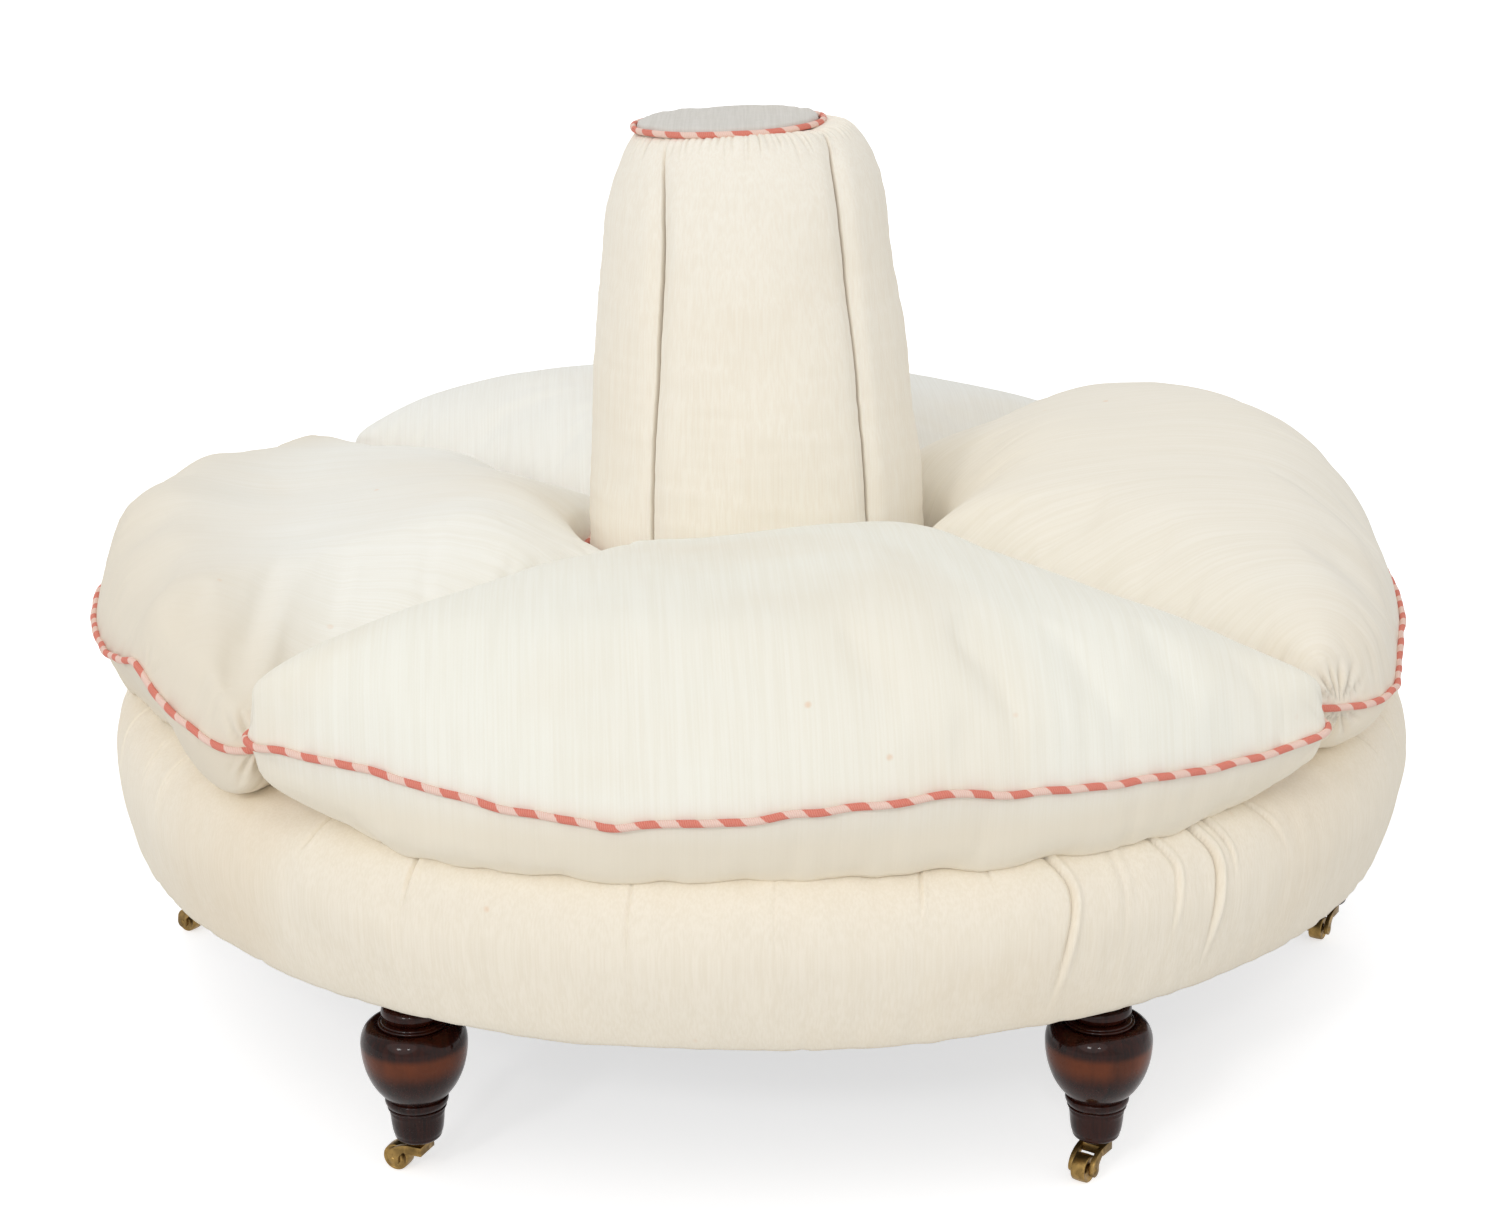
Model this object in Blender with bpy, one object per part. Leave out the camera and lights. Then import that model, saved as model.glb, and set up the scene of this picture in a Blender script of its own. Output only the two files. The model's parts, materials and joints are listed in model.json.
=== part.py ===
"""Round centre seat (a confidante or borne) with four loose cushions and a central column.

The seat is a round beech frame on six turned legs with swivelling brass casters. Webbing under the
frame carries hourglass springs, and hessian, padding and a cream cover lie over them. A post on
two crossed beams carries the padded column. Each quarter of the deck holds a loose feather cushion
with a striped piping in its seam.

Units are metres and +Z is up. The origin is on the floor, on the axis of the column. The front of
the seat faces -Y.
"""

import math

import bmesh
import bpy
from mathutils import Matrix, Vector

# Clearances and fixed counts
GAP = 0.0003
MERGE_DISTANCE = 0.00001
CUT_OVERRUN = 0.002
SMOOTH_ANGLE = math.radians(32)
FULL_TURN = 2 * math.pi
QUARTER_TURN = math.pi / 2
DRUM_SEGMENTS = 36
LEG_COUNT = 6
LEG_TURN = math.radians(-0.75)

# Wheels of the casters
WHEEL_RADIUS = 0.0130
WHEEL_WIDTH = 0.0140
WHEEL_EDGE_DROP = 0.0007
WHEEL_FLAT_SHARE = 0.30
WHEEL_DISH_RADIUS = 0.0078
WHEEL_DISH_DEPTH = 0.0016
WHEEL_SEGMENTS = 12
AXLE_RADIUS = 0.0020
AXLE_CLEARANCE = 0.0003
AXLE_HEAD_RADIUS = 0.0032
AXLE_HEAD_HEIGHT = 0.0010
AXLE_SEGMENTS = 8

# Forks and plates of the casters
CROWN_RADIUS = 0.0085
BRIDGE_HEIGHT = 0.0087
BRIDGE_RISE = 0.0047
CHEEK_THICKNESS = 0.0045
CHEEK_CLEARANCE = 0.00125
BOSS_RADIUS = 0.0062
TRAIL_CLEARANCE = 0.0005
HORN_START_SHARE = 0.35
HORN_STEPS = 4
BOSS_SWEEP = math.radians(165)
BOSS_STEPS = 4
PIN_RADIUS = 0.0030
PIN_HEAD_RADIUS = 0.0045
PIN_HEAD_HEIGHT = 0.0016
COLLAR_RADIUS = 0.0080
COLLAR_HEIGHT = 0.0022
PLATE_RADIUS = 0.0135
PLATE_THICKNESS = 0.0025
PLATE_SEGMENTS = 12
TRAIL_ANGLES_DEG = (240, 205, 30, 145, 157, 235)

# Turned legs: radii, and heights as shares of the leg's length above its foot
LEG_LENGTH = 0.1492
LEG_SEGMENTS = 14
LEG_DOWEL_RADIUS = 0.0090
LEG_DOWEL_LENGTH = 0.0400
LEG_TOP_RADIUS = 0.0220
LEG_NECK_RADIUS = 0.0198
LEG_BEAD_RADIUS = 0.0270
LEG_STEP_RADIUS = 0.0325
LEG_BULB_RADIUS = 0.0488
LEG_WAIST_RADIUS = 0.0265
LEG_RING_RADIUS = 0.0285
LEG_SHANK_RADIUS = 0.0245
LEG_TOE_RADIUS = 0.0218
LEG_FOOT_RADIUS = 0.0150
LEG_TOP_SHARE = 0.918
LEG_NECK_SHARE = 0.890
LEG_BEAD_SHARE = 0.784
LEG_STEP_SHARE = 0.752
LEG_BULB_SHARE = 0.660
LEG_WAIST_SHARE = 0.338
LEG_RING_SHARES = (0.315, 0.208)
LEG_SHANK_SHARE = 0.188
LEG_TOE_SHARE = 0.042
OVOID_SWEEP = math.radians(62)
BEAD_STEPS = 4
SHOULDER_STEPS = 2
OVOID_STEPS = 4

# Seat frame
DRUM_RADIUS = 0.6780
FACE_PADDING = 0.0260
RAIL_WIDTH = 0.0750
RAIL_HEIGHT = 0.0800
LEG_INSET = 0.0300
BEAM_WIDTH = 0.0700
BEAM_HEIGHT = 0.0600
WEB_COUNT = 3
WEB_WIDTH = 0.0500
WEB_EDGE_MARGIN = 0.1720
WEB_THICKNESS = 0.0015
WEB_LAP = 0.0003
TACKING_MARGIN = 0.0060
DUST_COVER_THICKNESS = 0.0012

# Seat springs stand on the crossings of the webbing, counted in pitches from the axis
SPRING_CROSSINGS = ((1, WEB_COUNT), (WEB_COUNT, 1))
SPRING_HEIGHT = 0.1380
SPRING_END_RADIUS = 0.0420
SPRING_WAIST_RADIUS = 0.0260
SPRING_WIRE_RADIUS = 0.0020
SPRING_TURNS = 3
SPRING_TURN_POINTS = 8

# Seat upholstery: cover outline as shares of the drum's radius and height, foot to deck
COVER_THICKNESS = 0.0020
HESSIAN_THICKNESS = 0.0015
DECK_PADDING = 0.0245
LIP_MARGIN = 0.0035
DRUM_OUTLINE_SHARES = (
    (0.9740, 0.000),
    (0.9830, 0.110),
    (0.9960, 0.340),
    (1.0000, 0.560),
    (0.9860, 0.770),
    (0.9530, 0.910),
    (0.8950, 0.988),
    (0.8300, 1.000),
)
HESSIAN_RISE_SHARES = ((0.930, 0.0), (0.800, 1.0))

# Column
POST_RADIUS = 0.0450
POST_SEGMENTS = 8
BOARD_RADIUS = 0.0800
BOARD_THICKNESS = 0.0180
BOARD_SEGMENTS = 16
COLUMN_RADIUS = 0.1780
COLUMN_HEIGHT = 0.5325
CROWN_PADDING = 0.0060
COLUMN_LEAN = 0.0140
LEAN_FULL_SHARE = 0.94
LEAN_POWER = 4
PLEAT_RISE = 0.0020
PLEAT_DEPTH = 0.0050
COLUMN_OUTLINE_SHARES = (
    (0.989, 0.000),
    (1.000, 0.086),
    (0.970, 0.340),
    (0.888, 0.649),
    (0.803, 0.837),
    (0.690, 0.955),
    (0.615, 0.990),
    (0.500, 1.000),
)
PLEAT_ANGLES_DEG = (-3.0, -0.8, 0.6, 4.0)
PLEAT_RISE_SHARES = (0.5, 1.0, -2.5, -0.5)
PLAIN_ANGLES_DEG = (15, 31, 47, 63, 78)
CAP_RADIUS = 0.0930
CAP_HEIGHT = 0.0075
CAP_SHIFT = 0.0100
CAP_SEGMENTS = 24
CAP_OUTLINE_SHARES = ((0.995, 0.0), (1.0, 0.30), (0.93, 0.65), (0.60, 0.92))
CAP_PIPING_RISE = 0.0032

# Cushions and their piping
PIPING_RADIUS = 0.0032
PIPING_RESOLUTION = 0
CUSHION_REACH = 0.6900
CUSHION_SPACING = 0.0020
CUSHION_TURN = math.radians(3.5)
COLUMN_SPACING = 0.0030
SEAM_RISE = 0.0640
OUTER_CORNER_RADIUS = 0.0500
INNER_CORNER_RADIUS = 0.0180
SIDE_DRAW_IN = 0.0080
OUTER_STEPS = 10
OUTER_CORNER_STEPS = 3
SIDE_STEPS = 4
INNER_CORNER_STEPS = 3
INNER_STEPS = 5
TOP_RING_SHARES = (0.97, 0.91, 0.81, 0.65, 0.42)
BOTTOM_RING_SHARES = (0.97, 0.90, 0.78)
CROWN_POWER = 2.4
CROWN_EXPONENT = 0.56
BELLY_POWER = 7.0
BELLY_EXPONENT = 0.5
CUSHION_SIDES = {
    "front": {"turns_share": -0.25, "crown": 0.1450},
    "right": {"turns_share": 0.00, "crown": 0.1500},
    "back": {"turns_share": 0.25, "crown": 0.1320},
    "left": {"turns_share": 0.50, "crown": 0.1150},
}

# Places worked out from the sizes above, from the floor up
axle_height = WHEEL_RADIUS
fork_top = 2 * WHEEL_RADIUS + BRIDGE_RISE
fork_bottom = fork_top - BRIDGE_HEIGHT
caster_trail = WHEEL_RADIUS + CROWN_RADIUS + TRAIL_CLEARANCE
cheek_inside = WHEEL_WIDTH / 2 + CHEEK_CLEARANCE
cheek_outside = cheek_inside + CHEEK_THICKNESS
collar_bottom = fork_top + GAP
plate_bottom = collar_bottom + COLLAR_HEIGHT
plate_top = plate_bottom + PLATE_THICKNESS
leg_foot = plate_top + GAP
leg_top = leg_foot + LEG_LENGTH
frame_underside = leg_top + GAP
frame_top = frame_underside + RAIL_HEIGHT
rail_outer_radius = DRUM_RADIUS - FACE_PADDING - COVER_THICKNESS
rail_inner_radius = rail_outer_radius - RAIL_WIDTH
leg_circle_radius = rail_outer_radius - LEG_INSET
webbing_top = frame_underside - GAP
webbing_bottom = webbing_top - 2 * WEB_THICKNESS
webbing_reach = leg_circle_radius - LEG_TOP_RADIUS - TACKING_MARGIN
web_pitch = (webbing_reach - WEB_EDGE_MARGIN) / WEB_COUNT
lip_radius = leg_circle_radius + LEG_TOP_RADIUS + LIP_MARGIN
spring_top = webbing_top + GAP + SPRING_HEIGHT
hessian_bottom = spring_top + GAP
hessian_top = hessian_bottom + HESSIAN_THICKNESS
deck_underside = hessian_top + GAP + DECK_PADDING + GAP
deck_top = deck_underside + COVER_THICKNESS
post_bottom = frame_underside + BEAM_HEIGHT + GAP
post_hole_radius = POST_RADIUS + GAP
column_bottom = deck_top + GAP
column_top = column_bottom + COLUMN_HEIGHT
crown_underside = column_top - COVER_THICKNESS - 2 * GAP
board_top = crown_underside - CROWN_PADDING - GAP
board_bottom = board_top - BOARD_THICKNESS
seam_height = deck_top + SEAM_RISE
seam_offset = 2 * PIPING_RADIUS + GAP


def remove_everything():
    """Empty the scene, so that the script can be run again."""
    for existing in list(bpy.data.objects):
        bpy.data.objects.remove(existing, do_unlink=True)


def make_material(name, color, roughness, metallic):
    """Return a Principled material of one colour."""
    material = bpy.data.materials.new(name)
    material.use_nodes = True
    shader = material.node_tree.nodes["Principled BSDF"]
    shader.inputs["Base Color"].default_value = (*color, 1.0)
    shader.inputs["Roughness"].default_value = roughness
    shader.inputs["Metallic"].default_value = metallic
    material.diffuse_color = (*color, 1.0)
    return material


FINISHES = {
    "cream_cloth": ((0.76, 0.71, 0.62), 0.90, 0.0),
    "coral_piping": ((0.72, 0.24, 0.17), 0.80, 0.0),
    "mahogany": ((0.16, 0.045, 0.022), 0.22, 0.0),
    "brass": ((0.62, 0.45, 0.20), 0.35, 1.0),
    "beech": ((0.62, 0.44, 0.27), 0.60, 0.0),
    "steel_wire": ((0.42, 0.42, 0.43), 0.40, 1.0),
    "jute": ((0.46, 0.35, 0.20), 0.95, 0.0),
    "stuffing": ((0.70, 0.64, 0.52), 0.95, 0.0),
    "black_cotton": ((0.04, 0.04, 0.045), 0.95, 0.0),
}


def dress(piece, finish):
    """Give a piece its own material in one of the named finishes."""
    piece.data.materials.clear()
    piece.data.materials.append(make_material(f"{piece.name}_{finish}", *FINISHES[finish]))
    return piece


def object_from_bmesh(name, work):
    """Turn a bmesh into a smooth shaded object with outward faces."""
    bmesh.ops.remove_doubles(work, verts=work.verts, dist=MERGE_DISTANCE)
    bmesh.ops.dissolve_degenerate(work, dist=MERGE_DISTANCE, edges=work.edges)
    bmesh.ops.recalc_face_normals(work, faces=work.faces)
    mesh = bpy.data.meshes.new(name)
    work.to_mesh(mesh)
    work.free()
    mesh.shade_smooth()
    mesh.set_sharp_from_angle(angle=SMOOTH_ANGLE)
    piece = bpy.data.objects.new(name, mesh)
    bpy.context.collection.objects.link(piece)
    return piece


def copy_object(name, source):
    """Return an object of its own with a copy of the source's mesh."""
    piece = bpy.data.objects.new(name, source.data.copy())
    bpy.context.collection.objects.link(piece)
    return piece


def turn(name, profile, segments, closed=False, phase=0.0):
    """Spin a profile of (radius, height) points about Z.

    An open profile starts and ends on the axis. A closed one makes a ring.
    """
    work = bmesh.new()
    verts = [work.verts.new((radius, 0, height)) for radius, height in profile]
    pairs = list(zip(verts, verts[1:]))
    if closed:
        pairs.append((verts[-1], verts[0]))
    edges = [work.edges.new(pair) for pair in pairs]
    bmesh.ops.rotate(work, verts=verts, cent=(0, 0, 0), matrix=Matrix.Rotation(phase, 3, "Z"))
    bmesh.ops.spin(
        work,
        geom=verts + edges,
        cent=(0, 0, 0),
        axis=(0, 0, 1),
        angle=FULL_TURN,
        steps=segments,
        use_merge=True,
    )
    return object_from_bmesh(name, work)


def extrude_outline(name, outline, low, high):
    """Extrude an outline in the XY plane from height low to height high."""
    work = bmesh.new()
    face = work.faces.new([work.verts.new((x, y, low)) for x, y in outline])
    grown = bmesh.ops.extrude_face_region(work, geom=[face])
    moved = [item for item in grown["geom"] if isinstance(item, bmesh.types.BMVert)]
    bmesh.ops.translate(work, verts=moved, vec=(0, 0, high - low))
    return object_from_bmesh(name, work)


def block(name, low, high):
    """Return a box between two corners."""
    outline = ((low[0], low[1]), (high[0], low[1]), (high[0], high[1]), (low[0], high[1]))
    return extrude_outline(name, outline, low[2], high[2])


def combine(target, tool, operation):
    """Join the tool to the target, or cut it out, and use the tool up."""
    modifier = target.modifiers.new(operation.lower(), "BOOLEAN")
    modifier.operation = operation
    modifier.solver = "EXACT"
    modifier.object = tool
    bpy.context.view_layer.update()
    evaluated = target.evaluated_get(bpy.context.evaluated_depsgraph_get())
    target.data = bpy.data.meshes.new_from_object(evaluated)
    target.modifiers.clear()
    bpy.data.objects.remove(tool, do_unlink=True)
    target.data.shade_smooth()
    target.data.set_sharp_from_angle(angle=SMOOTH_ANGLE)
    return target


def arc(center, radii, start, stop, steps):
    """Points of an elliptic arc, both ends included."""
    angles = [start + (stop - start) * step / steps for step in range(steps + 1)]
    return [
        (center[0] + radii[0] * math.cos(angle), center[1] + radii[1] * math.sin(angle))
        for angle in angles
    ]


def offset_path(points, distance, closed=False):
    """Move a path of 2-D points to the left of its direction, with mitred corners."""
    count = len(points)
    moved = []
    for index, point in enumerate(points):
        here = Vector(point)
        before = Vector(points[(index - 1) % count]) if closed or index else None
        after = Vector(points[(index + 1) % count]) if closed or index < count - 1 else None
        directions = []
        if before is not None:
            directions.append((here - before).normalized())
        if after is not None:
            directions.append((after - here).normalized())
        normals = [Vector((-direction.y, direction.x)) for direction in directions]
        middle = sum(normals, Vector((0, 0))).normalized()
        moved.append(tuple(here + middle * (distance / middle.dot(normals[0]))))
    return moved


def tube(name, points, radius, closed, resolution):
    """Return a round tube along a path of 3-D points."""
    curve = bpy.data.curves.new(name, "CURVE")
    curve.dimensions = "3D"
    curve.bevel_depth = radius
    curve.bevel_resolution = resolution
    curve.use_fill_caps = not closed
    spline = curve.splines.new("POLY")
    spline.points.add(len(points) - 1)
    for place, point in zip(spline.points, points):
        place.co = (*point, 1.0)
    spline.use_cyclic_u = closed
    piece = bpy.data.objects.new(name, curve)
    bpy.context.collection.objects.link(piece)
    return piece


def make_axis(name, location, angle):
    """Return an empty that stands on a joint's axis."""
    axis = bpy.data.objects.new(name, None)
    axis.location = location
    axis.rotation_euler = (0, 0, angle)
    bpy.context.collection.objects.link(axis)
    return axis


def rail_angle(index):
    """Angle of the middle of a frame rail about the axis of the column."""
    return FULL_TURN * index / LEG_COUNT


def leg_axis(index):
    """Plan position of a leg, a little off the middle of its rail."""
    angle = rail_angle(index) + LEG_TURN
    return (leg_circle_radius * math.cos(angle), leg_circle_radius * math.sin(angle))


def leg_height(share):
    """Height of a turning on the leg, from its share of the leg's length."""
    return leg_foot + share * LEG_LENGTH


def leg_profile():
    """Half outline of a leg, from the top of its dowel to its foot."""
    dowel = [
        (0, leg_top + LEG_DOWEL_LENGTH),
        (LEG_DOWEL_RADIUS, leg_top + LEG_DOWEL_LENGTH),
        (LEG_DOWEL_RADIUS, leg_top),
    ]
    neck_height = leg_height(LEG_NECK_SHARE)
    top_ring = [
        (LEG_TOP_RADIUS, leg_top),
        (LEG_TOP_RADIUS, leg_height(LEG_TOP_SHARE)),
    ]
    bead_base = leg_height(LEG_BEAD_SHARE)
    bead_center = (LEG_NECK_RADIUS, (neck_height + bead_base) / 2)
    bead_radii = (LEG_BEAD_RADIUS - LEG_NECK_RADIUS, (neck_height - bead_base) / 2)
    bead = arc(bead_center, bead_radii, QUARTER_TURN, -QUARTER_TURN, BEAD_STEPS)
    step_height = leg_height(LEG_STEP_SHARE)
    step = [(LEG_STEP_RADIUS, bead_base), (LEG_STEP_RADIUS, step_height)]
    bulb_height = leg_height(LEG_BULB_SHARE)
    shoulder_radii = (LEG_BULB_RADIUS - LEG_STEP_RADIUS, step_height - bulb_height)
    shoulder = arc((LEG_STEP_RADIUS, bulb_height), shoulder_radii, QUARTER_TURN, 0, SHOULDER_STEPS)[1:]
    waist_height = leg_height(LEG_WAIST_SHARE)
    ovoid_radii = (
        (LEG_BULB_RADIUS - LEG_WAIST_RADIUS) / (1 - math.cos(OVOID_SWEEP)),
        (bulb_height - waist_height) / math.sin(OVOID_SWEEP),
    )
    ovoid_center = (LEG_BULB_RADIUS - ovoid_radii[0], bulb_height)
    ovoid = arc(ovoid_center, ovoid_radii, 0, -OVOID_SWEEP, OVOID_STEPS)[1:]
    ring = [(LEG_RING_RADIUS, leg_height(share)) for share in LEG_RING_SHARES]
    foot = [
        (LEG_SHANK_RADIUS, leg_height(LEG_SHANK_SHARE)),
        (LEG_TOE_RADIUS, leg_height(LEG_TOE_SHARE)),
        (LEG_FOOT_RADIUS, leg_foot),
    ]
    return dowel + top_ring + bead + step + shoulder + ovoid + ring + foot + [(0, leg_foot)]


def plate_profile():
    """Half outline of a caster plate with its collar and its riveted swivel pin."""
    pin_bottom = fork_bottom - GAP
    return [
        (0, plate_top),
        (PLATE_RADIUS, plate_top),
        (PLATE_RADIUS, plate_bottom),
        (COLLAR_RADIUS, plate_bottom),
        (COLLAR_RADIUS, collar_bottom),
        (PIN_RADIUS, collar_bottom),
        (PIN_RADIUS, pin_bottom),
        (PIN_HEAD_RADIUS, pin_bottom),
        (0, pin_bottom - PIN_HEAD_HEIGHT),
    ]


def build_fork():
    """A caster fork: a bridge with two horned cheeks, its swivel hole and its riveted axle."""
    horn_start = HORN_START_SHARE * CROWN_RADIUS
    horn_radii = (caster_trail + BOSS_RADIUS - horn_start, fork_top - axle_height)
    outline = [(-CROWN_RADIUS, fork_bottom), (-CROWN_RADIUS, fork_top)]
    outline += arc((horn_start, axle_height), horn_radii, QUARTER_TURN, 0, HORN_STEPS)
    boss_radii = (BOSS_RADIUS, BOSS_RADIUS)
    outline += arc((caster_trail, axle_height), boss_radii, 0, -BOSS_SWEEP, BOSS_STEPS)[1:]
    outline += [(CROWN_RADIUS, fork_bottom)]
    fork = extrude_outline("fork_shape", outline, -cheek_outside, cheek_outside)
    fork.data.transform(Matrix.Rotation(QUARTER_TURN, 4, "X"))
    slot_far = caster_trail + BOSS_RADIUS + CUT_OVERRUN
    slot = block(
        "slot",
        (CROWN_RADIUS, -cheek_inside, -CUT_OVERRUN),
        (slot_far, cheek_inside, fork_top + CUT_OVERRUN),
    )
    combine(fork, slot, "DIFFERENCE")
    hole_radius = PIN_RADIUS + GAP
    hole_low = fork_bottom - CUT_OVERRUN
    hole_high = fork_top + CUT_OVERRUN
    hole = turn(
        "hole",
        [(0, hole_high), (hole_radius, hole_high), (hole_radius, hole_low), (0, hole_low)],
        PLATE_SEGMENTS,
    )
    combine(fork, hole, "DIFFERENCE")
    head_in = cheek_outside - CHEEK_THICKNESS / 2
    head_out = cheek_outside + AXLE_HEAD_HEIGHT
    axle = turn(
        "axle",
        [
            (0, head_out),
            (AXLE_HEAD_RADIUS, head_out),
            (AXLE_HEAD_RADIUS, head_in),
            (AXLE_RADIUS, head_in),
            (AXLE_RADIUS, -head_in),
            (AXLE_HEAD_RADIUS, -head_in),
            (AXLE_HEAD_RADIUS, -head_out),
            (0, -head_out),
        ],
        AXLE_SEGMENTS,
    )
    lay_down = Matrix.Rotation(QUARTER_TURN, 4, "X")
    axle.data.transform(Matrix.Translation((caster_trail, 0, axle_height)) @ lay_down)
    return combine(fork, axle, "UNION")


def build_wheel():
    """A barrel shaped caster wheel about Y, with a dished face and one tread facet straight down."""
    to_corner = 1 / math.cos(math.pi / WHEEL_SEGMENTS)
    tread = WHEEL_RADIUS * to_corner
    edge = tread - WHEEL_EDGE_DROP
    half = WHEEL_WIDTH / 2
    flat = half * WHEEL_FLAT_SHARE
    dish = half - WHEEL_DISH_DEPTH
    bore = AXLE_RADIUS + AXLE_CLEARANCE
    side = [
        (bore, half),
        (WHEEL_DISH_RADIUS, dish),
        (edge, half),
        (tread, flat),
    ]
    profile = side + [(radius, -height) for radius, height in reversed(side)]
    wheel = turn("wheel_shape", profile, WHEEL_SEGMENTS, closed=True, phase=math.pi / WHEEL_SEGMENTS)
    wheel.data.transform(Matrix.Rotation(QUARTER_TURN, 4, "X"))
    return wheel


def build_legs_and_casters():
    """Six legs, each with its plate, its swivelling fork and its wheel."""
    leg_shape = turn("leg_shape", leg_profile(), LEG_SEGMENTS)
    plate_shape = turn("plate_shape", plate_profile(), PLATE_SEGMENTS)
    fork_shape = build_fork()
    wheel_shape = build_wheel()
    for index in range(LEG_COUNT):
        x, y = leg_axis(index)
        number = index + 1
        leg = dress(copy_object(f"leg_{number}", leg_shape), "mahogany")
        leg.location = (x, y, 0)
        plate = dress(copy_object(f"caster_plate_{number}", plate_shape), "brass")
        plate.location = (x, y, 0)
        swivel = make_axis(f"swivel_axis_{number}", (x, y, 0), math.radians(TRAIL_ANGLES_DEG[index]))
        fork = dress(copy_object(f"caster_fork_{number}", fork_shape), "brass")
        fork.parent = swivel
        wheel = dress(copy_object(f"caster_wheel_{number}", wheel_shape), "brass")
        wheel.parent = swivel
        wheel.location = (caster_trail, 0, axle_height)
    for shape in (leg_shape, plate_shape, fork_shape, wheel_shape):
        bpy.data.objects.remove(shape, do_unlink=True)


def build_rails():
    """Six curved rails that make the round frame, each bored for the dowel of its leg."""
    step = FULL_TURN / DRUM_SEGMENTS
    steps = DRUM_SEGMENTS // LEG_COUNT
    trim = GAP / 2 / rail_inner_radius
    angles = [step * (index - steps / 2) for index in range(steps + 1)]
    angles[0] += trim
    angles[-1] -= trim
    outer = [(rail_outer_radius * math.cos(a), rail_outer_radius * math.sin(a)) for a in angles]
    inner = [(rail_inner_radius * math.cos(a), rail_inner_radius * math.sin(a)) for a in angles]
    rail_shape = extrude_outline("rail_shape", outer + inner[::-1], frame_underside, frame_top)
    hole_radius = LEG_DOWEL_RADIUS + GAP
    hole_top = leg_top + LEG_DOWEL_LENGTH + GAP
    hole_low = frame_underside - CUT_OVERRUN
    hole = turn(
        "dowel_hole",
        [(0, hole_top), (hole_radius, hole_top), (hole_radius, hole_low), (0, hole_low)],
        LEG_SEGMENTS,
    )
    x, y = leg_axis(0)
    hole.location = (x, y, 0)
    combine(rail_shape, hole, "DIFFERENCE")
    for index in range(LEG_COUNT):
        rail = dress(copy_object(f"frame_rail_{index + 1}", rail_shape), "beech")
        rail.rotation_euler = (0, 0, rail_angle(index))
    bpy.data.objects.remove(rail_shape, do_unlink=True)


def build_beams():
    """Two beams across the frame, half lapped where they cross under the post."""
    inner_flat = rail_inner_radius * math.cos(math.pi / DRUM_SEGMENTS)
    half = BEAM_WIDTH / 2
    reach = math.sqrt(inner_flat**2 - half**2) - GAP
    low = frame_underside
    high = frame_underside + BEAM_HEIGHT
    middle = (low + high) / 2
    lap = half + GAP
    for name, angle, notch_low, notch_high in (
        ("cross_beam_long", 0.0, middle - GAP / 2, high + CUT_OVERRUN),
        ("cross_beam_short", QUARTER_TURN, low - CUT_OVERRUN, middle + GAP / 2),
    ):
        beam = block(name, (-reach, -half, low), (reach, half, high))
        notch = block(
            "notch",
            (-lap, -half - CUT_OVERRUN, notch_low),
            (lap, half + CUT_OVERRUN, notch_high),
        )
        combine(beam, notch, "DIFFERENCE")
        beam.rotation_euler = (0, 0, angle)
        dress(beam, "beech")


def build_webbing():
    """Straps across the underside of the frame, one layer each way, stitched where they cross."""
    half = WEB_WIDTH / 2
    middle = (webbing_top + webbing_bottom) / 2
    layers = []
    for name, low, high in (
        ("webbing", webbing_bottom, middle + WEB_LAP / 2),
        ("upper_straps", middle - WEB_LAP / 2, webbing_top),
    ):
        work = bmesh.new()
        for index in range(-WEB_COUNT, WEB_COUNT + 1):
            center = index * web_pitch
            reach = math.sqrt(webbing_reach**2 - (abs(center) + half) ** 2)
            low_corner = Vector((-reach, center - half, low))
            size = Vector((2 * reach, WEB_WIDTH, high - low))
            strap = bmesh.ops.create_cube(work, size=1)
            bmesh.ops.scale(work, verts=strap["verts"], vec=size)
            bmesh.ops.translate(work, verts=strap["verts"], vec=low_corner + size / 2)
        layers.append(object_from_bmesh(name, work))
    layers[1].data.transform(Matrix.Rotation(QUARTER_TURN, 4, "Z"))
    dress(combine(layers[0], layers[1], "UNION"), "jute")


def spring_path():
    """Centre line of an hourglass spring, standing on zero."""
    count = SPRING_TURNS * SPRING_TURN_POINTS
    rise = SPRING_HEIGHT - 2 * SPRING_WIRE_RADIUS
    flare = SPRING_END_RADIUS - SPRING_WAIST_RADIUS
    points = []
    for index in range(count + 1):
        share = index / count
        radius = SPRING_WAIST_RADIUS + flare * (2 * share - 1) ** 2 - SPRING_WIRE_RADIUS
        angle = FULL_TURN * SPRING_TURNS * share
        height = SPRING_WIRE_RADIUS + rise * share
        points.append((radius * math.cos(angle), radius * math.sin(angle), height))
    return points


def least_gap(points, radius, skip):
    """Least distance between stretches of a wire that are more than skip points apart."""
    places = [Vector(point) for point in points]
    distances = [
        (places[first] - places[second]).length - 2 * radius
        for first in range(len(places))
        for second in range(first + skip, len(places))
    ]
    return min(distances)


def build_springs():
    """Hourglass springs on the crossings of the webbing."""
    path = spring_path()
    gap = least_gap(path, SPRING_WIRE_RADIUS, SPRING_TURN_POINTS // 2)
    print(f"least gap between the turns of a spring: {gap * 1000:.2f} mm")
    base = webbing_top + GAP
    places = [
        (side_x * across * web_pitch, side_y * along * web_pitch)
        for across, along in SPRING_CROSSINGS
        for side_x in (1, -1)
        for side_y in (1, -1)
    ]
    for index, (x, y) in enumerate(places):
        spring = tube(f"seat_spring_{index + 1}", path, SPRING_WIRE_RADIUS, False, 0)
        spring.location = (x, y, base)
        dress(spring, "steel_wire")


def drum_outline():
    """Outer outline of the seat cover, from the inner edge of its lip to the post."""
    foot = webbing_top - COVER_THICKNESS
    height = deck_top - foot
    side = [(DRUM_RADIUS * r, foot + height * h) for r, h in DRUM_OUTLINE_SHARES]
    return [(lip_radius, foot)] + side + [(post_hole_radius, deck_top)]


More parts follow.
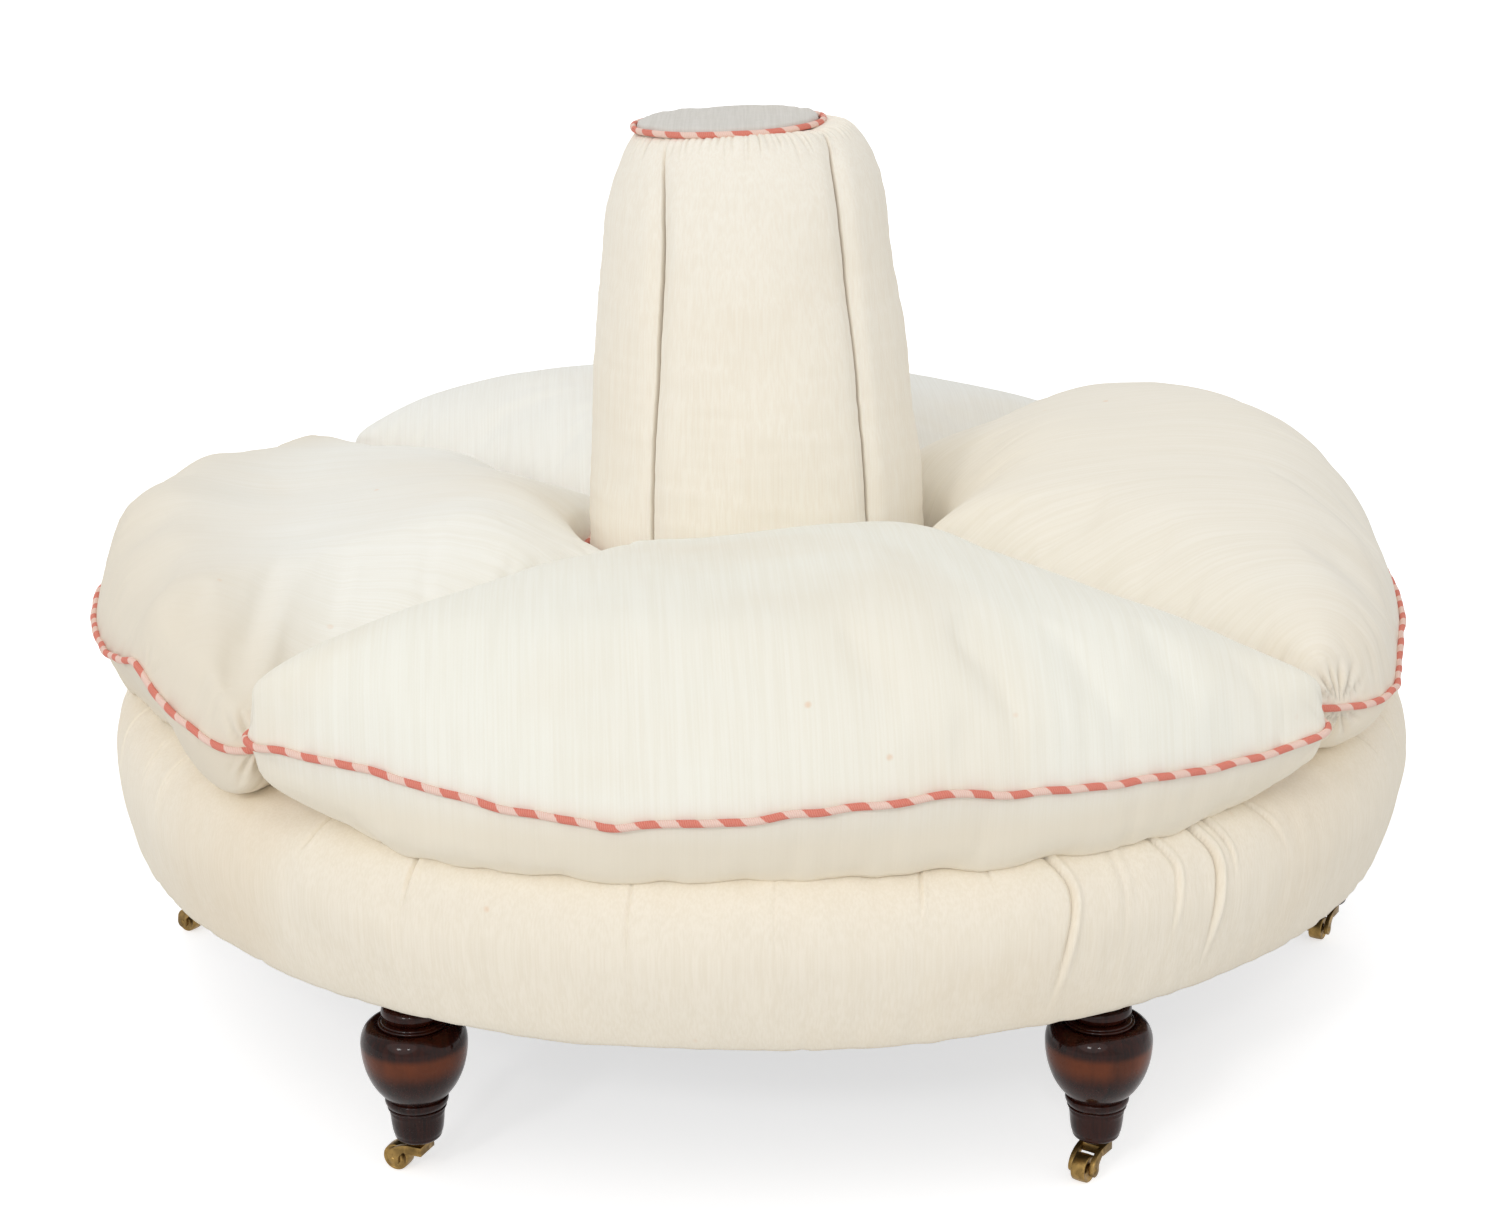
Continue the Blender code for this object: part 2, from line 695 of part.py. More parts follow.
def hessian_outline():
    """Underside of the hessian, from the top of the rails to the post."""
    tacked = frame_top + GAP
    rise = hessian_bottom - tacked
    edge = [(rail_outer_radius - LEG_TOP_RADIUS / 2, tacked)]
    slope = [(rail_outer_radius * r, tacked + rise * h) for r, h in HESSIAN_RISE_SHARES]
    return edge + slope + [(post_hole_radius, hessian_bottom)]


def build_seat_upholstery():
    """Dust cover, hessian, padding and cover of the drum."""
    dust_top = webbing_bottom - GAP
    dust_low = dust_top - DUST_COVER_THICKNESS
    dust = [(0, dust_top), (webbing_reach, dust_top), (webbing_reach, dust_low), (0, dust_low)]
    dress(turn("dust_cover", dust, DRUM_SEGMENTS), "black_cotton")

    under = hessian_outline()
    over = offset_path(under, -HESSIAN_THICKNESS)
    dress(turn("hessian", under + over[::-1], DRUM_SEGMENTS, closed=True), "jute")

    outline = drum_outline()
    inside = offset_path(outline, COVER_THICKNESS)
    dress(turn("seat_cover", outline + inside[::-1], DRUM_SEGMENTS, closed=True), "cream_cloth")

    skin = offset_path(outline, COVER_THICKNESS + GAP)[1:]
    bed = offset_path(under, -HESSIAN_THICKNESS - GAP)
    face_radius = rail_outer_radius + GAP
    face = [(face_radius, bed[0][1]), (face_radius, skin[0][1])]
    padding = skin + bed[::-1] + face
    dress(turn("seat_padding", padding, DRUM_SEGMENTS, closed=True), "stuffing")


def column_outline():
    """Outer outline of the column cover, from the deck to its gathered top."""
    return [
        (COLUMN_RADIUS * r, column_bottom + COLUMN_HEIGHT * h) for r, h in COLUMN_OUTLINE_SHARES
    ]


def pleat_round(piece):
    """Draw the steps of a turned cover into a long lapped pleat at each diagonal."""
    angles = []
    rises = []
    for quarter in range(4):
        diagonal = QUARTER_TURN * (quarter - 0.5)
        for degrees, share in zip(PLEAT_ANGLES_DEG, PLEAT_RISE_SHARES):
            angles.append(diagonal + math.radians(degrees))
            rises.append(PLEAT_RISE * share)
        for degrees in PLAIN_ANGLES_DEG:
            angles.append(diagonal + math.radians(degrees))
            rises.append(0.0)
    step = FULL_TURN / len(angles)
    low = column_outline()[0][1]
    for vert in piece.data.vertices:
        index = round(math.atan2(vert.co.y, vert.co.x) / step) % len(angles)
        fade = 1 - ((vert.co.z - low) / COLUMN_HEIGHT) ** 4
        radius = math.hypot(vert.co.x, vert.co.y) + rises[index] * max(0.0, fade)
        vert.co.x = radius * math.cos(angles[index])
        vert.co.y = radius * math.sin(angles[index])


def lean(height):
    """How far the top of the column has settled towards -X, at a height."""
    share = (height - column_bottom) / COLUMN_HEIGHT / LEAN_FULL_SHARE
    return -COLUMN_LEAN * min(1.0, share**LEAN_POWER)


def lean_over(piece):
    """Shift the outside of a turned piece of the column with its lean. The bore stays on the post."""
    for vert in piece.data.vertices:
        if math.hypot(vert.co.x, vert.co.y) > post_hole_radius + GAP:
            vert.co.x += lean(vert.co.z)


def build_column():
    """Post, top board, padding, pleated cover, cap and cap piping."""
    post = [(0, board_bottom - GAP), (POST_RADIUS, board_bottom - GAP)]
    post += [(POST_RADIUS, post_bottom), (0, post_bottom)]
    dress(turn("column_post", post, POST_SEGMENTS), "beech")
    board = [(0, board_top), (BOARD_RADIUS, board_top)]
    board += [(BOARD_RADIUS, board_bottom), (0, board_bottom)]
    top_board = dress(turn("column_top_board", board, BOARD_SEGMENTS), "beech")
    top_board.location = (lean(board_top), 0, 0)

    outline = column_outline()
    inside = offset_path(outline, COVER_THICKNESS)
    steps = 4 * (len(PLEAT_ANGLES_DEG) + len(PLAIN_ANGLES_DEG))
    cover = turn("column_cover", outline + inside[::-1], steps, closed=True)
    pleat_round(cover)
    lean_over(cover)
    dress(cover, "cream_cloth")

    facet_drop = COLUMN_RADIUS * (1 - math.cos(math.pi / steps * 2))
    depth = COVER_THICKNESS + PLEAT_DEPTH + facet_drop + GAP
    skin = offset_path(outline, depth)
    body = [(radius, height) for radius, height in skin[1:] if radius > BOARD_RADIUS + depth]
    wall_radius = BOARD_RADIUS + GAP
    padding = [(skin[0][0], column_bottom)] + body
    padding += [(wall_radius + depth, crown_underside - depth), (wall_radius, crown_underside)]
    padding += [(0, crown_underside)]
    padding += [(0, board_top + GAP), (wall_radius, board_top + GAP)]
    padding += [(wall_radius, board_bottom - GAP), (post_hole_radius, board_bottom - GAP)]
    padding += [(post_hole_radius, column_bottom)]
    filling = dress(turn("column_padding", padding, BOARD_SEGMENTS, closed=True), "stuffing")
    lean_over(filling)

    cap_bottom = column_top + GAP
    cap_middle = lean(column_top) - CAP_SHIFT
    cap = [(0, cap_bottom)]
    cap += [(CAP_RADIUS * r, cap_bottom + CAP_HEIGHT * h) for r, h in CAP_OUTLINE_SHARES]
    cap += [(0, cap_bottom + CAP_HEIGHT)]
    cap_disc = dress(turn("column_cap", cap, CAP_SEGMENTS), "cream_cloth")
    cap_disc.location = (cap_middle, 0, 0)
    ring_radius = CAP_RADIUS + GAP + PIPING_RADIUS
    ring_height = cap_bottom + CAP_PIPING_RISE
    ring = arc((0, 0), (ring_radius, ring_radius), 0, FULL_TURN, CAP_SEGMENTS)[:-1]
    path = [(x + cap_middle, y, ring_height) for x, y in ring]
    dress(tube("column_cap_piping", path, PIPING_RADIUS, True, PIPING_RESOLUTION), "coral_piping")


def cushion_outline():
    """Seam of a cushion in plan, about +X: a quarter of a ring with round corners.

    Every stretch leaves out its last point, which the next one starts with.
    """
    reach = CUSHION_REACH - seam_offset
    throat = COLUMN_RADIUS + PLEAT_RISE + COLUMN_SPACING + seam_offset
    inset = CUSHION_SPACING / 2 + seam_offset
    diagonal = QUARTER_TURN / 2
    side_normal = diagonal + QUARTER_TURN

    outer_distance = reach - OUTER_CORNER_RADIUS
    outer_angle = diagonal - math.asin((inset + OUTER_CORNER_RADIUS) / outer_distance)
    outer_center = (outer_distance * math.cos(outer_angle), outer_distance * math.sin(outer_angle))
    inner_distance = throat + INNER_CORNER_RADIUS
    inner_angle = diagonal - math.asin((inset + INNER_CORNER_RADIUS) / inner_distance)
    inner_center = (inner_distance * math.cos(inner_angle), inner_distance * math.sin(inner_angle))

    corner_radii = (OUTER_CORNER_RADIUS, OUTER_CORNER_RADIUS)
    corner = arc(outer_center, corner_radii, outer_angle, side_normal, OUTER_CORNER_STEPS)
    inner_radii = (INNER_CORNER_RADIUS, INNER_CORNER_RADIUS)
    inner_corner = arc(inner_center, inner_radii, side_normal, inner_angle + math.pi, INNER_CORNER_STEPS)
    inward = Vector((math.cos(side_normal), math.sin(side_normal))) * -SIDE_DRAW_IN
    start = Vector(corner[-1])
    run = Vector(inner_corner[0]) - start
    side = []
    for index in range(SIDE_STEPS):
        share = index / SIDE_STEPS
        side.append(tuple(start + run * share + inward * math.sin(math.pi * share)))
    far_half = corner[:-1] + side + inner_corner[:-1]
    outer_arc = arc((0, 0), (reach, reach), -outer_angle, outer_angle, OUTER_STEPS)[:-1]
    inner_arc = arc((0, 0), (throat, throat), inner_angle, -inner_angle, INNER_STEPS)[:-1]
    mirrored = [(x, -y) for x, y in reversed(far_half[1:] + [inner_arc[0]])]
    near_half = [(inner_arc[0][0], -inner_arc[0][1])] + mirrored[1:]
    return outer_arc + far_half + inner_arc + near_half


def build_cushion(name, crown):
    """A feather cushion: crown above its seam, belly below it, flat where it rests on the deck."""
    outline = cushion_outline()
    center_x = (max(x for x, y in outline) + min(x for x, y in outline)) / 2
    belly = SEAM_RISE - GAP
    levels = [(1.0, 0.0)]
    levels += [(share, crown * (1 - share**CROWN_POWER) ** CROWN_EXPONENT) for share in TOP_RING_SHARES]
    lower = [(share, -belly * (1 - share**BELLY_POWER) ** BELLY_EXPONENT) for share in BOTTOM_RING_SHARES]
    flattest = lower[-1][1]
    lower = [(share, rise * belly / -flattest) for share, rise in lower]

    work = bmesh.new()

    def ring(share, rise):
        return [
            work.verts.new((center_x + (x - center_x) * share, y * share, seam_height + rise))
            for x, y in outline
        ]

    def bridge(first, second):
        for index in range(len(outline)):
            following = (index + 1) % len(outline)
            work.faces.new((first[index], first[following], second[following], second[index]))

    def close(loop, rise):
        top = work.verts.new((center_x, 0, seam_height + rise))
        for index in range(len(outline)):
            work.faces.new((loop[index], loop[(index + 1) % len(outline)], top))

    seam = ring(*levels[0])
    for rings, end in ((levels[1:], crown), (lower, -belly)):
        before = seam
        for share, rise in rings:
            current = ring(share, rise)
            bridge(before, current)
            before = current
        close(before, end)
    return object_from_bmesh(name, work)


def build_cushions():
    """Four cushions with the striped piping round each seam."""
    path = offset_path(cushion_outline(), -(PIPING_RADIUS + GAP), closed=True)
    for side, sizes in CUSHION_SIDES.items():
        angle = FULL_TURN * sizes["turns_share"] + CUSHION_TURN
        axis = make_axis(f"lift_axis_{side}", (0, 0, 0), angle)
        cushion = dress(build_cushion(f"cushion_{side}", sizes["crown"]), "cream_cloth")
        cushion.parent = axis
        points = [(x, y, seam_height) for x, y in path]
        cord = tube(f"cushion_piping_{side}", points, PIPING_RADIUS, True, PIPING_RESOLUTION)
        piping = dress(cord, "coral_piping")
        piping.parent = axis


remove_everything()
build_legs_and_casters()
build_rails()
build_beams()
build_webbing()
build_springs()
build_seat_upholstery()
build_column()
build_cushions()
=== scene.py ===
"""Looks of a round centre seat with four feather cushions and a padded column.

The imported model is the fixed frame. Every soft piece is modelled here in the space of its solid:
the cloth of the drum and of the column with its creases, four feather cushions with striped piping
in their seams, and the thin dust cover. Legs and casters get finer turned and shaped pieces. The
stuffing is made lumpy, and what else the covers hide keeps its own mesh and gets a finish.

Units are metres and +Z is up. The origin is on the floor under the column, and the front of the
seat faces -Y.
"""

import json
import logging
import math
from collections.abc import Callable, Sequence
from dataclasses import dataclass
from enum import Enum
from typing import Any

import bmesh
import bpy
import numpy as np
from mathutils import Matrix, Vector


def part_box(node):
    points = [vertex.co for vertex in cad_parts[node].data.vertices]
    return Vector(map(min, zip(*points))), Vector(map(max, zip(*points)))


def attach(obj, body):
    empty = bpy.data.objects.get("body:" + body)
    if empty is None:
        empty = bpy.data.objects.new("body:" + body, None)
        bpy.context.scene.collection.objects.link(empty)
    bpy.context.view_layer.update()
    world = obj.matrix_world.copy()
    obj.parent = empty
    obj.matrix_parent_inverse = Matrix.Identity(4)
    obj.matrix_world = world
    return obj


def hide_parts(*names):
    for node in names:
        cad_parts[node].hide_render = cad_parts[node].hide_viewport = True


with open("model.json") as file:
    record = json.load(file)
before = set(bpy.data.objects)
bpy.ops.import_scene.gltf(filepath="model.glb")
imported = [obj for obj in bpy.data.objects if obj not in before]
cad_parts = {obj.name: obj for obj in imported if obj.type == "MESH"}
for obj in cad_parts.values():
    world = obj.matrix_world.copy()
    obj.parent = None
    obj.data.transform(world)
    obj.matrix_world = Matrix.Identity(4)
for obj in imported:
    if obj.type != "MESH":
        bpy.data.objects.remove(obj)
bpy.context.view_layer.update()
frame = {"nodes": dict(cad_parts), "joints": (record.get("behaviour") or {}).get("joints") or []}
log = logging.getLogger("centre_seat")

FULL_TURN = 2 * math.pi
QUARTER_TURN = math.pi / 2

Color = tuple[float, float, float]
Corner = tuple[float, float]
Place = tuple[float, float, float]
Span = tuple[float, float]
Wave = tuple[float, float, Place]
Array = np.ndarray
Piece = bpy.types.Object

WELD_DISTANCE = 0.000002
POLE_DISTANCE = 0.00001
FILL_FRAMES = 20
FEATHER_SETTINGS = {
    "quality": 5, "mass": 0.3, "tension_stiffness": 12, "compression_stiffness": 8,
    "bending_stiffness": 0.3, "use_pressure": True,
}
SHADED_DEPTH = 0.007
SHADED_SLIT = 0.014
SHADED_WIDTH = 0.0009
CASE_GAP = 0.0012
REST_GAP = 0.0010
STUFFING_EDGE = 0.022
STUFFING_DEPTH = 0.0022
LEAST_DEPTH = 0.0011
STUFFING_LUMPS: tuple[Wave, ...] = ((0.0009, 0.05, (1, 1, 1)), (0.0005, 0.02, (1, 1, 1)))


def srgb(red: int, green: int, blue: int) -> Color:
    """Return a colour given as screen values from 0 to 255, as linear light."""
    shares = (red / 255, green / 255, blue / 255)
    return tuple(s / 12.92 if s < 0.04045 else ((s + 0.055) / 1.055) ** 2.4 for s in shares)


def ease(low: float, high: float, value: Array) -> Array:
    """Return 0 below low, 1 above high and a smooth step between them."""
    share = np.clip((value - low) / (high - low), 0.0, 1.0)
    return share * share * (3 - 2 * share)


def hump(distance: Array, width: float | Array) -> Array:
    """Return a round hump of height 1 with its middle at distance 0."""
    return np.exp(-((distance / width) ** 2))


def turn_gap(first: Array, second: Array | float) -> Array:
    """Return the shortest way round from the second angle to the first, in radians."""
    return (first - second + math.pi) % FULL_TURN - math.pi


def soft_noise(points: Array, seed: int, size: float, waves: int = 14) -> Array:
    """Return a smooth uneven value for each point, about -1 to 1.

    Args:
        points: Places, one row each.
        seed: Number that picks the pattern.
        size: Usual distance from one hump to the next, in metres.
        waves: Number of waves that are added up.

    Returns:
        One value for each point.
    """
    draw = np.random.default_rng(seed)
    directions = draw.normal(size=(waves, points.shape[1]))
    directions /= np.linalg.norm(directions, axis=1, keepdims=True)
    pitches = FULL_TURN / size * draw.uniform(0.55, 1.45, waves)
    phases = draw.uniform(0, FULL_TURN, waves)
    return np.sin(points @ (directions * pitches[:, None]).T + phases).sum(1) / math.sqrt(waves)


def unevenness(points: Array, seed: int, waves: Sequence[Wave]) -> Array:
    """Return how far an uneven surface lies out at each point.

    Args:
        points: Places, one row each.
        seed: Number that picks the pattern of the first wave.
        waves: Depth, size and stretch of each wave.

    Returns:
        One distance for each point, in metres.
    """
    parts = [
        depth * soft_noise(points * stretch, seed + number, size)
        for number, (depth, size, stretch) in enumerate(waves)
    ]
    return np.sum(parts, axis=0)


def smooth_path(points: Sequence[Sequence[float]], steps: int, closed: bool = False) -> Array:
    """Return a Catmull-Rom curve through the points.

    Args:
        points: Places that the curve passes through, of any dimension.
        steps: Number of steps from one place to the next.
        closed: True for a loop.

    Returns:
        The points of the curve, one row each.
    """
    knots = np.asarray(points, float)
    count = len(knots)
    if closed:
        around = knots[np.arange(-1, count + 2) % count]
        spans = count
    else:
        around = np.vstack([2 * knots[0] - knots[1], knots, 2 * knots[-1] - knots[-2]])
        spans = count - 1
    share = (np.arange(steps) / steps)[:, None]
    pieces = []
    for index in range(spans):
        a, b, c, d = around[index : index + 4]
        bend = 2 * a - 5 * b + 4 * c - d
        twist = 3 * b - a - 3 * c + d
        pieces.append(0.5 * (2 * b + (c - a) * share + bend * share**2 + twist * share**3))
    if not closed:
        pieces.append(knots[-1:])
    return np.vstack(pieces)


def even_path(path: Array, count: int) -> Array:
    """Return count points at even distances along a path, both ends included.

    Args:
        path: Places along the path, one row each.
        count: Number of points.

    Returns:
        The points.
    """
    lengths = np.linalg.norm(np.diff(path, axis=0), axis=1)
    travelled = np.concatenate([[0.0], np.cumsum(lengths)])
    places = np.linspace(0.0, travelled[-1], count)
    return np.stack([np.interp(places, travelled, path[:, k]) for k in range(path.shape[1])], 1)


def outline_normals(outline: Array) -> Array:
    """Return the way out at each point of a half outline of (radius, height) that runs upwards.

    Args:
        outline: Points of (radius, height), one row each.

    Returns:
        Vectors of length 1, one row each.
    """
    tangents = np.gradient(outline, axis=0)
    normals = np.stack([tangents[:, 1], -tangents[:, 0]], 1)
    return normals / np.linalg.norm(normals, axis=1, keepdims=True)


def around_axis(turn: Array, radii: Array, heights: Array) -> Array:
    """Return the places at these angles, distances and heights round the middle line of the seat."""
    return np.stack([radii * np.cos(turn), radii * np.sin(turn), heights], -1)


def arc(center: Corner, radii: Corner, start: float, stop: float, steps: int) -> list[Corner]:
    """Return the points of an elliptic arc, both ends included."""
    angles = np.linspace(start, stop, steps + 1)
    return [(center[0] + radii[0] * math.cos(a), center[1] + radii[1] * math.sin(a)) for a in angles]


class Field:
    """A shader socket that can stand in a sum, a difference, a product or a quotient."""

    def __init__(self, board: "Board", socket: bpy.types.NodeSocket) -> None:
        """Keep the socket and the board that it lies on."""
        self.board = board
        self.socket = socket

    def _math(self, operation: str, first: "Field | float", second: "Field | float") -> "Field":
        """Add one Math node."""
        return self.board.node("ShaderNodeMath", {"operation": operation}, {0: first, 1: second})

    def __add__(self, other: "Field | float") -> "Field":
        """Return self + other."""
        return self._math("ADD", self, other)

    def __radd__(self, other: float) -> "Field":
        """Return other + self."""
        return self._math("ADD", other, self)

    def __sub__(self, other: "Field | float") -> "Field":
        """Return self - other."""
        return self._math("SUBTRACT", self, other)

    def __rsub__(self, other: float) -> "Field":
        """Return other - self."""
        return self._math("SUBTRACT", other, self)

    def __mul__(self, other: "Field | float") -> "Field":
        """Return self * other."""
        return self._math("MULTIPLY", self, other)

    def __rmul__(self, other: float) -> "Field":
        """Return other * self."""
        return self._math("MULTIPLY", other, self)

    def __truediv__(self, other: "Field | float") -> "Field":
        """Return self / other."""
        return self._math("DIVIDE", self, other)


class Board:
    """The nodes of one material round its Principled shader."""

    def __init__(self, name: str) -> None:
        """Start a material of that name.

        Args:
            name: Name of the material.
        """
        self.material = bpy.data.materials.new(name)
        self.material.use_nodes = True
        self.tree = self.material.node_tree
        self.shader = self.tree.nodes["Principled BSDF"]

    def feed(self, socket: bpy.types.NodeSocket, value: Any) -> None:
        """Link a field to a socket, or set the socket's own value.

        Args:
            socket: The input.
            value: A field, a colour or a plain value.
        """
        if isinstance(value, Field):
            self.tree.links.new(value.socket, socket)
        elif socket.type == "RGBA":
            socket.default_value = (*value[:3], 1.0)
        else:
            socket.default_value = value

    def node(
        self,
        kind: str,
        settings: dict[str, Any] | None = None,
        inputs: dict[str | int, Any] | None = None,
        output: str | int = 0,
    ) -> Field:
        """Add a node.

        Args:
            kind: Blender's type name of the node.
            settings: Values of the node itself, set before its sockets.
            inputs: Values or fields for its input sockets, by name or number.
            output: Name or number of the output that is used.

        Returns:
            The output as a field.
        """
        made = self.tree.nodes.new(kind)
        for name, value in (settings or {}).items():
            setattr(made, name, value)
        for key, value in (inputs or {}).items():
            self.feed(made.inputs[key], value)
        return Field(self, made.outputs[output])

    def place(self, turned: float = 0.0, stretch: Sequence[float] = (1, 1, 1)) -> Field:
        """Return object coordinates, turned back about Z and then stretched.

        Args:
            turned: Angle in radians.
            stretch: Factor along each axis.

        Returns:
            The coordinates.
        """
        spot = self.node("ShaderNodeTexCoord", output="Object")
        if turned:
            spot = self.node("ShaderNodeMapping", {}, {"Vector": spot, "Rotation": (0, 0, -turned)})
        return self.node("ShaderNodeMapping", {}, {"Vector": spot, "Scale": tuple(stretch)})

    def height(self) -> Field:
        """Return the height above the floor."""
        spot = self.node("ShaderNodeTexCoord", output="Object")
        return self.node("ShaderNodeSeparateXYZ", {}, {0: spot}, "Z")

    def reach(self) -> Field:
        """Return the distance from the upright middle line of the seat."""
        flat = self.place(stretch=(1, 1, 0))
        return self.node("ShaderNodeVectorMath", {"operation": "LENGTH"}, {0: flat}, "Value")

    def noise(self, spot: Field, scale: float, detail: float = 2.0, warp: float = 0.0) -> Field:
        """Return a noise value round 0.5."""
        inputs = {"Vector": spot, "Scale": scale, "Detail": detail, "Distortion": warp}
        return self.node("ShaderNodeTexNoise", {}, inputs)

    def band(self, value: Field, low: float, high: float) -> Field:
        """Return a smooth step of a value from 0 at low to 1 at high."""
        inputs = {"Value": value, "From Min": low, "From Max": high}
        return self.node("ShaderNodeMapRange", {"interpolation_type": "SMOOTHSTEP"}, inputs)

    def spots(self, spot: Field, pitch: float, size: float, few: float) -> Field:
        """Return scattered round spots.

        Args:
            spot: Coordinates in metres.
            pitch: Usual distance between the places where a spot may lie.
            size: Radius of a spot.
            few: Share of the places that stay empty.

        Returns:
            1 on a spot and 0 beside it.
        """
        inputs = {"Vector": spot, "Scale": 1 / pitch}
        distance = self.node("ShaderNodeTexVoronoi", {}, inputs, "Distance")
        lot = self.node("ShaderNodeTexVoronoi", {}, inputs, "Color")
        drawn = self.band(self.node("ShaderNodeSeparateColor", {}, {0: lot}, "Red"), few, few + 0.1)
        return self.band(distance, size / pitch, size / pitch * 0.3) * drawn

    def mix(self, factor: Field | float, first: Any, second: Any) -> Field:
        """Mix two colours."""
        inputs = {0: factor, 6: first, 7: second}
        return self.node("ShaderNodeMix", {"data_type": "RGBA"}, inputs, 2)

    def relief(self, height: Field, distance: float, strength: float = 1.0) -> Field:
        """Return a bumped normal."""
        inputs = {"Height": height, "Distance": distance, "Strength": strength}
        return self.node("ShaderNodeBump", {}, inputs, "Normal")

    def finish(self, **inputs: Any) -> bpy.types.Material:
        """Feed the shader's sockets, named with _ for a space, and return the material.

        Args:
            inputs: Values or fields, by the socket's name.

        Returns:
            The material.
        """
        for name, value in inputs.items():
            self.feed(self.shader.inputs[name.replace("_", " ")], value)
        return self.material


class Sky(Board):
    """The nodes of the world round its background."""

    def __init__(self, name: str) -> None:
        """Start a world of that name and use it.

        Args:
            name: Name of the world.
        """
        world = bpy.data.worlds.new(name)
        world.use_nodes = True
        self.tree = world.node_tree
        self.shader = self.tree.nodes["Background"]
        bpy.context.scene.world = world


class Run(Enum):
    """Way that the ribs of a cloth run: the stretch of its coordinates."""

    UPRIGHT = (1.0, 1.0, 0.02)
    OUTWARD = (0.02, 1.0, 0.02)


@dataclass(frozen=True)
class CreamCloth:
    """Slubbed cream cotton with fine ribs, faint brown age spots, a few dark flecks and painted shade."""

    name: str
    tone: Color
    shade: Color
    run: Run
    turned: float = 0.0
    staining: float = 0.25
    slot: str = "seat_cloth"
    # Painted warm shade below this height, and painted shade towards the outer rim; 0 for none.
    painted_warm_shade_below: float = 0.0
    rim_painted_shade: float = 0.0

    def make(self) -> bpy.types.Material:
        """Build the material.

        Returns:
            The material.
        """
        board = Board(self.name)
        along = board.place(self.turned, self.run.value)
        plain = board.place()
        ribs = board.noise(along, 520, 1.5)
        slubs = board.noise(along, 130, 2.0)
        picks = board.noise(plain, 900, 1.0)
        cloud = board.noise(plain, 3.1, 4.0, 0.6)
        threads = ribs * 0.55 + slubs * 0.3 + picks * 0.15
        color = board.mix(board.band(threads, 0.34, 0.66), self.shade, self.tone)
        color = board.mix(board.band(cloud, 0.46, 0.80) * self.staining, color, srgb(232, 208, 172))
        # Painted shade: darker brown where the fold value marks creases, slits and gathers.
        fold = board.node("ShaderNodeAttribute", {"attribute_name": "fold"}, {}, "Fac")
        color = board.mix(fold * 0.82, color, srgb(134, 105, 71))
        # Painted warm shade on the lower part, below the given height, such as a cushion's belly.
        if self.painted_warm_shade_below:
            low = board.band(board.height(), self.painted_warm_shade_below + 0.015, self.painted_warm_shade_below - 0.035)
            color = board.mix(low * 0.75, color, srgb(245, 233, 211))
        # Painted shade: darker towards the outer rim of the seat.
        if self.rim_painted_shade:
            rim = board.band(board.reach(), 0.48, 0.68)
            color = board.mix(rim * self.rim_painted_shade, color, srgb(233, 222, 202))
        foxing = board.spots(plain, 0.055, 0.0045, 0.62) * board.noise(plain, 160, 2.0)
        color = board.mix(foxing * 0.75, color, srgb(232, 176, 122))
        flecks = board.spots(plain, 0.11, 0.0016, 0.72)
        color = board.mix(flecks * 0.55, color, srgb(120, 100, 84))
        return board.finish(
            Base_Color=color,
            Roughness=board.noise(along, 200, 2.0) * 0.16 + 0.80,
            Sheen_Weight=0.08,
            Sheen_Roughness=0.5,
            Specular_IOR_Level=0.25,
            Normal=board.relief(threads, 0.0007, 0.4),
        )


@dataclass(frozen=True)
class StripedPiping:
    """Ribbed piping cloth cut on the bias, with slanting coral stripes on pale pink."""

    name: str = "striped_piping"
    coral: Color = srgb(222, 112, 92)
    pink: Color = srgb(246, 214, 200)
    repeat: float = 0.035
    coral_share: float = 0.54
    slant: float = 0.016
    rib: float = 0.0019
    slot: str = "striped_piping"

    def make(self) -> bpy.types.Material:
        """Build the material. The map named cord holds metres along and turns round the cord.

        Returns:
            The material.
        """
        board = Board(self.name)
        cord = board.node("ShaderNodeUVMap", {"uv_map": "cord"})
        along = board.node("ShaderNodeSeparateXYZ", {}, {0: cord}, "X")
        around = board.node("ShaderNodeSeparateXYZ", {}, {0: cord}, "Y")
        wobble = board.noise(board.place(), 190, 1.0) * 0.0022
        phase = (along - around * self.slant + wobble) / self.repeat
        part = board.node("ShaderNodeMath", {"operation": "FRACT"}, {0: phase})
        stripe = board.band(part, 0.0, 0.03) * board.band(part, self.coral_share, self.coral_share - 0.03)
        turns = (along - around * self.slant * 0.35) * (FULL_TURN / self.rib)
        rib = board.node("ShaderNodeMath", {"operation": "SINE"}, {0: turns}) * 0.5 + 0.5
        fuzz = board.noise(board.place(), 700, 2.0)
        coral = board.mix(board.band(rib, 0.45, 1.0) * 0.45, self.coral, srgb(240, 160, 142))
        pink = board.mix(board.band(rib, 0.2, 1.0) * 0.6, self.pink, srgb(238, 188, 170))
        color = board.mix(stripe, pink, coral)
        color = board.mix(fuzz * 0.18, color, srgb(250, 232, 220))
        return board.finish(
            Base_Color=color,
            Roughness=0.86,
            Specular_IOR_Level=0.25,
            Normal=board.relief(rib * 0.7 + fuzz * 0.5, 0.0005, 0.8),
        )


